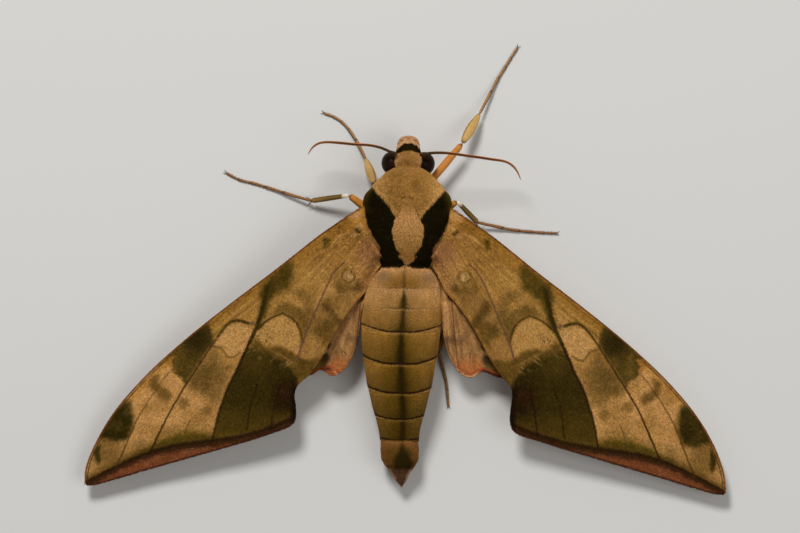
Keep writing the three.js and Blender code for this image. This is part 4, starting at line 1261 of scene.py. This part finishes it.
def wing_fringe(name, grid, tones, column, slot, length, width, per_mm, seed):
    """Scales that stand out along one edge of a wing, but for its start at the root."""
    start = 0.05
    rng = np.random.default_rng(seed)
    edge, inner = grid[:, column], grid[:, column - 6]
    steps = np.linalg.norm(np.diff(edge, axis=0), axis=1)
    total = np.concatenate([[0.0], np.cumsum(steps)])
    count = int(total[-1] * per_mm)
    where = total[-1] * (start + (1 - start) * rng.random(count))
    rows = np.arange(len(edge))
    row = np.interp(where, total, rows)
    low = np.minimum(row.astype(int), len(edge) - 2)
    part = (row - low)[:, None]
    roots = edge[low] * (1 - part) + edge[low + 1] * part
    out = unit(edge - inner)
    lie = out[low] * (1 - part) + out[low + 1] * part
    roots = roots - lie * 0.12
    lie = lie + 0.12 * rng.standard_normal(lie.shape)
    normals = np.tile(UP, (count, 1))
    shade = tones[low, column] * (0.85 + 0.3 * rng.random(count))[:, None]
    along, around, lift = where / total[-1], np.full(count, 0.5), 0.05
    make_coat(name, slot, roots, normals, lie, length, width, lift, shade, along, around, rng)


def wing_coat(name, side, grid, tones, slot, density, length, width, lift, seed):
    """Scales or hair on a wing's upper side; they lie outward from the wing's root.

    density and length are functions of how far out a place is.
    """
    rng = np.random.default_rng(seed)
    source = np.array([3.0 * SIDES[side], 9.0, 0.0])

    def distance(places):
        return np.hypot(places[:, 0] - source[0], places[:, 1] - source[1])

    found = scatter(grid, lambda middles: density(distance(middles)), rng, closed=False)
    read, roots, normals, along, around = found
    gain = np.interp(distance(roots), [8.0, 13.0], [1.14, 1.0])
    shade = read(tones) * (gain + 0.06 * rng.standard_normal(len(roots)))[:, None]
    lie = (roots - source) * np.array([1.0, 1.0, 0.0])
    lie = unit(lie) + 0.08 * rng.standard_normal(lie.shape)
    long = length(distance(roots))
    make_coat(name, slot, roots, normals, lie, long, width, lift, shade, along, around, rng)


# ---- Legs, feelers and eyes ------------------------------------------------------------------
SOLE = 0.24
LEGS = {
    "foreleg_left": {
        "hip": (-2.6, 9.8, 1.9), "knee": (-4.5, 11.7, 3.1), "ankle": (-5.9, 15.3, 1.7),
        "foot": [
            (-6.95, 17.3, 0.95), (-8.05, 19.0, 0.4), (-9.15, 20.2, SOLE), (-10.4, 21.0, SOLE),
            (-11.8, 21.5, SOLE),
        ],
        "femur": 0.5, "tibia": (0.62, 0.42),
    },
    "foreleg_right": {
        "hip": (2.6, 11.6, 3.6), "knee": (7.35, 17.5, 3.6), "ankle": (9.75, 21.8, 1.7),
        "foot": [
            (11.1, 24.5, 0.9), (12.2, 26.7, 0.4), (13.5, 28.9, SOLE), (14.1, 29.9, SOLE),
            (14.85, 31.1, SOLE),
        ],
        "femur": 0.52, "tibia": (0.66, 0.42),
    },
    "midleg_left": {
        "hip": (-4.2, 7.4, 3.4), "knee": (-7.95, 10.05, 4.3), "ankle": (-13.25, 9.3, 1.5),
        "foot": [
            (-15.9, 10.0, 0.85), (-18.4, 10.75, 0.4), (-21.0, 11.5, SOLE), (-23.3, 12.05, SOLE),
            (-25.15, 12.95, SOLE),
        ],
        "femur": 0.55, "tibia": (0.42, 0.42),
    },
    "midleg_right": {
        "hip": (4.2, 7.6, 3.4), "knee": (6.75, 9.5, 4.3), "ankle": (9.75, 6.75, 1.5),
        "foot": [
            (12.4, 6.25, 0.85), (14.6, 5.85, 0.4), (17.0, 5.65, SOLE), (18.8, 5.55, SOLE),
            (20.75, 5.5, SOLE),
        ],
        "femur": 0.5, "tibia": (0.42, 0.42),
    },
    "hindleg_left": {
        "hip": (-3.0, 3.2, 3.0), "knee": (-7.0, -1.6, 4.0), "ankle": (-7.6, -8.4, 1.4),
        "foot": [
            (-8.0, -10.0, 0.8), (-8.4, -11.2, 0.35), (-8.9, -12.2, SOLE), (-9.3, -12.9, SOLE),
            (-9.7, -13.7, SOLE),
        ],
        "femur": 0.5, "tibia": (0.42, 0.42),
    },
    "hindleg_right": {
        "hip": (3.0, 3.2, 3.0), "knee": (6.9, -2.2, 4.0), "ankle": (4.75, -11.2, 1.4),
        "foot": [
            (5.25, -13.0, 0.8), (5.7, -14.6, 0.35), (5.95, -15.9, SOLE), (6.1, -17.3, SOLE),
            (6.25, -18.75, SOLE),
        ],
        "femur": 0.5, "tibia": (0.42, 0.42),
    },
}
ANTENNAE = {
    "left": [
        (-1.6, 15.75, 8.9), (-2.49, 16.1, 9.3), (-3.31, 16.44, 9.4), (-4.02, 16.68, 9.35),
        (-5.33, 16.93, 9.1), (-7.35, 17.02, 8.6), (-9.4, 17.2, 8.0), (-11.4, 17.27, 7.4),
        (-12.4, 17.05, 7.1), (-13.15, 16.5, 6.8), (-13.8, 15.5, 6.3),
    ],
    "right": [
        (1.6, 15.72, 8.9), (2.3, 15.88, 9.3), (3.16, 16.02, 9.45), (4.17, 16.08, 9.4),
        (5.17, 16.07, 9.25), (6.38, 15.97, 9.0), (7.8, 15.8, 8.7), (8.9, 15.68, 8.4),
        (11.2, 15.4, 7.8), (13.3, 15.1, 7.2), (14.2, 14.65, 6.9), (14.9, 13.9, 6.6),
        (15.55, 12.6, 6.1),
    ],
}


def tube_grid(path, wide, high, around=16):
    """Rings round a path; wide is level and high is upright, one number for each ring."""
    tangent = unit(np.gradient(path, axis=0))
    level = sideways(tangent)
    upright = np.cross(level, tangent)
    turn = np.linspace(0.0, 2 * math.pi, around, endpoint=False)[None, :, None]
    wide, high = np.broadcast_to(wide, len(path)), np.broadcast_to(high, len(path))
    return (
        path[:, None, :]
        + level[:, None, :] * np.cos(turn) * wide[:, None, None]
        + upright[:, None, :] * np.sin(turn) * high[:, None, None]
    )


def rounded(part, start=0.1, end=0.1):
    """1 along a tube, drawn in to round ends over the given shares of its length."""
    near = np.sqrt(np.clip(1 - (1 - np.clip(part / start, 0, 1)) ** 2, 0, 1))
    far = np.sqrt(np.clip(1 - (1 - np.clip((1 - part) / end, 0, 1)) ** 2, 0, 1))
    return np.maximum(near * far, 0.06)


def tube_part(path, wide, high, tone_of, around=16):
    """A closed tube as a mesh part; tone_of gets each point's place along, side and height."""
    grid = tube_grid(path, wide, high, around)
    points, faces = loft(grid)
    rings = len(path)
    part = np.repeat(np.linspace(0.0, 1.0, rings), around)
    turn = np.tile(np.linspace(0.0, 2 * math.pi, around, endpoint=False), rings)
    tones = tone_of(part, np.cos(turn), np.sin(turn))
    length = np.concatenate([[0.0], np.cumsum(np.linalg.norm(np.diff(path, axis=0), axis=1))])
    lay = np.column_stack([turn * 0.4, np.repeat(length, around), np.zeros(len(points))])
    return (points, faces, tones, lay), grid


def straight(start, end, count):
    """Even steps from start to end."""
    part = np.linspace(0.0, 1.0, count)[:, None]
    return np.array(start) * (1 - part) + np.array(end) * part


def spike(start, end, radius, tone, bend=(0.0, 0.0, 0.0)):
    """A thin curved point, such as a spur or a claw."""
    part = np.linspace(0.0, 1.0, 9)
    path = straight(start, end, 9) + np.array(bend) * np.sin(math.pi * part)[:, None]
    thick = radius * np.sqrt(np.clip(part * 8, 0, 1)) * (1.0 - 0.94 * part**1.5)
    thick = np.maximum(thick, 0.012)
    shade = np.array(tone, float)
    return tube_part(path, thick, thick, lambda p, s, h: shade * (1.1 - 0.4 * p)[:, None], 8)[0]


FORE_TIBIA = (192, 156, 92)
FEMUR_ORANGE = (196, 128, 52)
MID_OLIVE = (112, 86, 38)
TARSUS_BROWN = (140, 96, 52)
SPUR_BROWN = (120, 84, 44)
CLAW_BROWN = (38, 22, 12)
LEG_TUFTS = (34, 40, 26, 20, 18, 16, 12)  # for a square mm: femur, tibia and five tarsal joints


def leg_tones(side, fore, mid):
    """The tones of a leg's femur, tibia and tarsus, as tube_part() takes them."""

    def femur_tones(part, level, height):
        tones = plain(FEMUR_ORANGE, part)
        paint(tones, (96, 70, 26), 0.75 * fade(0.2, 0.9, level * side) * (not fore))
        # Painted shade: the femur is darker underneath.
        paint(tones, (150, 92, 38), 0.5 * fade(0.3, -0.8, height))
        paint(tones, (78, 46, 18), 0.85 * fade(0.95, 0.99, part))
        return tones

    def tibia_tones(part, level, height):
        if fore:
            tones = plain(FORE_TIBIA, part)
            paint(tones, (150, 100, 46), 0.75 * fade(0.55, 0.95, -level * side))
            paint(tones, (104, 72, 34), 0.8 * fade(0.12, 0.0, part))
            paint(tones, (128, 84, 38), 0.7 * fade(0.92, 1.0, part))
            return tones
        tones = plain(MID_OLIVE, part)
        paint(tones, (152, 116, 56), 0.7 * fade(0.4, 0.95, part))
        paint(tones, (74, 55, 22), 0.6 * fade(0.35, 0.95, np.abs(level)))
        if mid:
            paint(tones, (236, 222, 196), 0.95 * fade(0.17, 0.14, part))
        paint(tones, (96, 58, 26), 0.6 * fade(0.95, 1.0, part))
        return tones

    def tarsus_tones(part, level, height):
        tones = plain(TARSUS_BROWN, part)
        # Painted light on top of the fore tarsus, and painted shade on every tarsus's outer side.
        if fore:
            paint(tones, (176, 132, 78), 0.6 * fade(0.0, 0.8, height))
        paint(tones, JOINT_BROWN, 0.6 * fade(0.1, 0.9, level * side))
        paint(tones, (58, 34, 16), 0.8 * fade(0.86, 0.98, part))
        return tones

    return femur_tones, tibia_tones, tarsus_tones


def leg_spikes(name, knee, ankle, path):
    """Spurs on the middle and hind tibiae, small spines below the tarsus, and two claws."""
    spikes = []
    reach = unit(ankle - knee)
    level = sideways(reach)
    # [how far before the ankle it starts, how far ahead, beside and down its tip is, radius].
    spurs = [] if name.startswith("fore") else [(0.15, 1.05, 0.75, 0.3, 0.1)]
    if name.startswith("hind"):
        spurs.append((2.6, 1.0, 0.6, 0.0, 0.09))
    for before, ahead, beside, drop, radius in spurs:
        for turn in (-1, 1):
            start = ankle - reach * before
            tip = start + reach * ahead + level * turn * beside - UP * drop
            spikes.append(spike(start, tip, radius, SPUR_BROWN))
    for where in range(6, 112, 5):
        ahead = unit(path[where + 1] - path[where - 1])
        for turn in (-1, 1):
            beside = sideways(ahead) * turn
            start = path[where] + beside * 0.15
            tip = start + ahead * 0.22 + beside * 0.12
            tip[2] = max(tip[2] - 0.03, 0.05)
            spikes.append(spike(start, tip, 0.03, (86, 56, 30)))
    ahead = unit(path[-1] - path[-4])
    for turn in (-1, 1):
        beside = sideways(ahead) * turn
        start = path[-1] + beside * 0.06 + np.array([0, 0, -0.02])
        tip = path[-1] + ahead * 0.42 + beside * 0.28
        tip[2] = 0.05
        spikes.append(spike(start, tip, 0.06, CLAW_BROWN, bend=(0.0, 0.0, 0.1)))
    return spikes


def make_leg(name, leg):
    """One leg's solid parts; gives the grid and tones of each tube for the coat."""
    fore, mid = name.startswith("fore"), name.startswith("mid")
    side = SIDES[name.split("_")[1]]
    hip, knee, ankle = (np.array(leg[joint]) for joint in ("hip", "knee", "ankle"))
    femur_tones, tibia_tones, tarsus_tones = leg_tones(side, fore, mid)

    # The femur is thickest before its middle and ends in a rounded knee.
    part = np.linspace(0.0, 1.0, 34)
    swell = leg["femur"] * (0.72 + 0.3 * np.sin(math.pi * part**0.8)) * rounded(part, 0.08, 0.07)
    tubes = [(straight(hip, knee, 34), swell, swell * 0.95, femur_tones, 20)]
    wide, high = leg["tibia"]
    girth = 0.6 + 0.22 * part + 0.12 * np.sin(math.pi * part)
    if fore:
        girth = 0.34 + 0.66 * np.sin(math.pi * part**0.85)
    girth = girth * rounded(part, 0.06, 0.07)
    path = straight(knee - unit(hip - knee) * 0.12, ankle, 34)
    tubes.append((path, wide * girth, high * girth, tibia_tones, 20))

    # Five tarsal joints, each a little wider at its far end.
    path = curve([ankle] + leg["foot"], 121)
    cuts = [0, 42, 66, 86, 103, 120]
    for number, (start, end) in enumerate(zip(cuts[:-1], cuts[1:])):
        joint = path[max(start - 1, 0) : end + 1]
        share = np.linspace(0.0, 1.0, len(joint))
        thick = (0.235 - 0.014 * number) * (0.72 + 0.28 * share) * rounded(share, 0.06, 0.1)
        floor = np.minimum(thick, np.maximum(joint[:, 2] - 0.005, 0.03))
        tubes.append((joint, thick, floor, tarsus_tones, 14))

    made = [tube_part(*tube) for tube in tubes]
    parts = [tube for tube, _ in made] + leg_spikes(name, knee, ankle, path)
    nodes = [f"{name}_{length}" for length in ("femur", "tibia", "tarsus")]
    make_piece(f"{name}_joints", parts, LEG_SCALES, nodes)
    return [(grid, tube[3]) for (_, grid), tube in zip(made, tubes)]


def leg_coat(name, leg, grids):
    """Small scales that lie towards the foot."""
    rng = np.random.default_rng(len(name) * 7 + int(10 * abs(leg["hip"][1])))
    mesh_parts, maps = [], []
    for index, (grid, tone_of) in enumerate(grids):
        _, roots, normals, along, around = scatter(grid, LEG_TUFTS[index], rng)
        centre = grid.mean(1)
        toward = unit(np.gradient(centre, axis=0))
        lie = toward[np.clip((along * (len(centre) - 1)).astype(int), 0, len(centre) - 1)]
        lie = lie + 0.15 * rng.standard_normal(lie.shape)
        turn = around * 2 * math.pi
        tones = tone_of(along, np.cos(turn), np.sin(turn)) * 1.04
        length = 0.24 if index < 2 else 0.14
        made, tuft_map = tuft_mesh(
            roots, normals, lie, length, 0.055, 0.03, tones, along, (index + around) / 8, rng
        )
        made[0][:, 2] = np.maximum(made[0][:, 2], 0.01)
        mesh_parts.append(made)
        maps.append(tuft_map)
    make_piece(f"{name}_coat", mesh_parts, TUFTS, tuft_map=np.vstack(maps))


ANTENNA_ORANGE = (198, 132, 74)


def make_antenna(side):
    """A feeler of fine rings: dark along its top, orange on both edges, with a hooked thin end."""
    path = curve(ANTENNAE[side], 331)
    part = np.linspace(0.0, 1.0, len(path))
    rings = 0.92 + 0.08 * np.abs(np.sin(np.arange(len(path)) * math.pi / 5))
    places = [0, 0.03, 0.08, 0.6, 0.86, 0.97, 1]
    taper = np.interp(part, places, [0.3, 0.28, 0.2, 0.205, 0.16, 0.07, 0.02])
    thick = taper * rings * rounded(part, 0.01, 0.01)

    def tone_of(place, level, height):
        tones = plain(ANTENNA_ORANGE, place)
        core = fade(0.72, 0.95, height)
        paint(tones, (178, 110, 54), 0.8 * fade(0.2, 0.6, height))
        paint(tones, (50, 28, 10), (0.94 - 0.6 * fade(0.5, 0.98, place)) * core)
        paint(tones, (52, 34, 12), 0.9 * fade(0.3, 0.08, place) * fade(-0.2, 0.3, height))
        return tones

    made, _ = tube_part(path, thick, thick, tone_of, 24)
    make_piece(f"antenna_{side}_shaft", [made], ANTENNA_SCALES, [f"antenna_{side}"])


EYE_AT = (2.16, 14.62, 6.3)
EYE_RADII = (1.5, 1.62, 1.75)
EYE_BROWN = (32, 15, 8)


def make_eye(side):
    sign = SIDES[side]
    rings, around = 72, 96
    polar = np.linspace(0.02, math.pi - 0.02, rings)[:, None]
    turn = np.linspace(0.0, 2 * math.pi, around, endpoint=False)[None, :]
    level = np.sin(polar)
    grid = np.stack(
        [
            sign * EYE_AT[0] + EYE_RADII[0] * np.cos(polar) * np.ones_like(turn),
            EYE_AT[1] + EYE_RADII[1] * level * np.cos(turn),
            EYE_AT[2] + EYE_RADII[2] * level * np.sin(turn),
        ],
        axis=-1,
    )
    points, faces = loft(grid)
    tones = plain(EYE_BROWN, points)
    paint(tones, (17, 8, 4), fade(-0.3, 0.7, noise(points, (0.5, 0.9, 0.5), 5)))
    # A painted glow: the lower part of the eye is a lighter brown, like the shine deep in a moth's eye.
    below = (EYE_AT[2] - points[:, 2]) / EYE_RADII[2]
    paint(tones, (84, 52, 30), 0.5 * fade(0.3, 0.9, below))
    make_piece(f"eye_{side}_lens", [(points, faces, tones, points)], EYE, [f"eye_{side}"])


# ---- Making it all ---------------------------------------------------------------------------
BACK_HEIGHT = -0.15  # how high on the flank the back's coat begins, as body_height() counts
BELLY_HEIGHT = -0.1
ABDOMEN_SPLIT = -11.0  # where the abdomen's front and rear coats meet
skin = make_body()


def is_head(p):
    """The head's skin but for what the eyes cover."""
    clear = p[:, 1] > 14.15
    for sign in SIDES.values():
        off = (p - np.array([sign * EYE_AT[0], EYE_AT[1], EYE_AT[2]])) / np.array(EYE_RADII)
        clear &= (off**2).sum(1) > 1.0
    return clear


def is_thorax(p):
    return (p[:, 1] > 0.3) & (p[:, 1] <= 14.15)


def is_dark(p):
    return body_tones(p).sum(1) < 160


def is_back(p):
    return is_thorax(p) & (body_height(p) > BACK_HEIGHT)


def is_abdomen(p):
    """The back of the abdomen, but for the thin bare line at the rear of each segment, where its dark
    edge of painted shadow shows.
    """
    high = body_height(p)
    clear = segment_part(segment_level(p, high)) < 0.87
    clear |= (p[:, 1] > -6.5) | (p[:, 1] < -23.4)
    return (p[:, 1] <= 0.3) & (p[:, 1] > -40.0) & (high > BELLY_HEIGHT) & clear


def is_abdomen_front(p):
    return is_abdomen(p) & (p[:, 1] > ABDOMEN_SPLIT)


def is_abdomen_rear(p):
    return is_abdomen(p) & (p[:, 1] <= ABDOMEN_SPLIT)


def is_breast(p):
    return is_thorax(p) & (body_height(p) <= BACK_HEIGHT)


def is_belly(p):
    return (p[:, 1] <= 0.3) & (body_height(p) <= BELLY_HEIGHT)


def is_tail(p):
    return (p[:, 1] < -26.4) & (p[:, 1] > -28.9)


# [name, slot, where it grows, tufts for a square mm, length, width, lift, seed, spread].
COATS = [
    ("head", "tan_coat", is_head, 230, 0.3, 0.055, 0.25, 1, 0.25),
    ("back", "tan_coat", lambda p: is_back(p) & ~is_dark(p), 170, 0.55, 0.062, 0.16, 2, 0.12),
    ("shoulders", "olive_coat", lambda p: is_back(p) & is_dark(p), 130, 0.55, 0.07, 0.14, 3, 0.12),
    ("breast", "tan_coat", is_breast, 65, 0.9, 0.11, 0.16, 4, 0.2),
    ("abdomen_front", "abdomen_coat", is_abdomen_front, 130, 0.28, 0.065, 0.12, 5, 0.12),
    ("abdomen_rear", "abdomen_coat", is_abdomen_rear, 130, 0.28, 0.065, 0.12, 6, 0.12),
    ("abdomen_below", "abdomen_coat", is_belly, 40, 0.5, 0.11, 0.14, 7, 0.12),
    ("tail", "abdomen_coat", is_tail, 70, 0.7, 0.06, 0.1, 8, 0.12),
]
for coat, slot, *rest in COATS:
    body_coat(f"coat_{coat}", skin, slot, *rest)

for side in SIDES:
    grid, tones, edge = make_wing(
        "forewing", side, FOREWING_LEAD, FOREWING_TRAIL, root_lead=(5.0, 8.9), root_trail=(3.0, 1.4),
        height=forewing_height, paint_top=forewing_tones, columns=390, rows=(130, 44),
    )
    wing_fringe(
        f"forewing_{side}_fringe", grid, tones, edge - 1, "wing_scales",
        length=0.3, width=0.09, per_mm=60, seed=11,
    )
    wing_coat(
        f"forewing_{side}_scales", side, grid[:, :edge], tones[:, :edge], "wing_scales",
        density=lambda far: 30.0 * (far > 9.0),
        length=lambda far: np.interp(far, [7, 14], [0.4, 0.2]), width=0.1, lift=0.06, seed=21,
    )
    wing_coat(
        f"forewing_{side}_hair", side, grid[:, :edge], tones[:, :edge], "wing_scales",
        density=lambda far: np.interp(far, [8.0, 13.0], [95.0, 0.0]),
        length=lambda far: np.interp(far, [3, 12], [0.9, 0.5]), width=0.038, lift=0.04, seed=22,
    )
    grid, tones, edge = make_wing(
        "hindwing", side, HINDWING_LEAD, HINDWING_TRAIL, root_lead=(3.6, 3.6), root_trail=(2.0, 0.8),
        height=hindwing_height, paint_top=hindwing_tones, columns=200, rows=(90, 30),
    )
    wing_fringe(
        f"hindwing_{side}_fringe", grid, tones, edge - 1, "hindwing_scales",
        length=0.35, width=0.09, per_mm=50, seed=12,
    )
    make_antenna(side)
    make_eye(side)

for name, leg in LEGS.items():
    leg_coat(name, leg, make_leg(name, leg))


# ---- Floor, light and camera -----------------------------------------------------------------
FLOOR_REACH = 0.6
PAPER = (0.62, 0.61, 0.585, 1.0)
WORLD_WHITE = (1.0, 1.0, 1.0, 1.0)
WORLD_STRENGTH = 0.22


def make_floor():
    """A level sheet of pale paper."""
    mesh = bpy.data.meshes.new("floor")
    reach = FLOOR_REACH
    corners = [(-reach, -reach, 0), (reach, -reach, 0), (reach, reach, 0), (-reach, reach, 0)]
    mesh.from_pydata(corners, [], [(0, 1, 2, 3)])
    floor = bpy.data.objects.new("floor", mesh)
    bpy.context.scene.collection.objects.link(floor)
    material = bpy.data.materials.new("floor_paper")
    material.use_nodes = True
    shader = material.node_tree.nodes["Principled BSDF"]
    shader.inputs["Base Color"].default_value = PAPER
    shader.inputs["Roughness"].default_value = 0.9
    mesh.materials.append(material)


def soft_light(name, place, size, power):
    """A round area light that points at the moth."""
    data = bpy.data.lights.new(name, "AREA")
    data.shape = "DISK"
    data.size = size
    data.energy = power
    light = bpy.data.objects.new(name, data)
    bpy.context.scene.collection.objects.link(light)
    light.location = place
    aim = -light.location
    light.rotation_euler = aim.to_track_quat("-Z", "Y").to_euler()


CAMERA_DISTANCE = 0.6
CAMERA_AIM = (-0.834, 0.465, 4.5)  # the middle of the photo at the height of the wings, in mm
FRAMED_WIDTH = 0.110  # what the photo's width spans at that height, in metres
SENSOR_WIDTH = 36.0
PHOTO_TURN = 1.13  # how far the moth is turned in the photo, in degrees


def make_camera():
    """Straight above, as far off as keeps the perspective of a long lens, turned with the photo."""
    data = bpy.data.cameras.new("camera")
    data.sensor_width = SENSOR_WIDTH
    data.lens = SENSOR_WIDTH * CAMERA_DISTANCE / FRAMED_WIDTH
    data.clip_start = 0.01
    camera = bpy.data.objects.new("camera", data)
    bpy.context.scene.collection.objects.link(camera)
    aim = [value * MM for value in CAMERA_AIM]
    camera.location = (aim[0], aim[1], CAMERA_DISTANCE + aim[2])
    camera.rotation_euler = (0.0, 0.0, math.radians(PHOTO_TURN))
    bpy.context.scene.camera = camera


make_floor()
soft_light("key", place=(-0.12, 0.34, 0.5), size=0.16, power=2.8)
soft_light("fill", place=(0.3, -0.1, 0.55), size=0.4, power=0.95)
make_camera()
world = bpy.data.worlds.new("studio")
world.use_nodes = True
background = world.node_tree.nodes["Background"]
background.inputs["Color"].default_value = WORLD_WHITE
background.inputs["Strength"].default_value = WORLD_STRENGTH
bpy.context.scene.world = world
bpy.context.scene.view_settings.view_transform = "Standard"
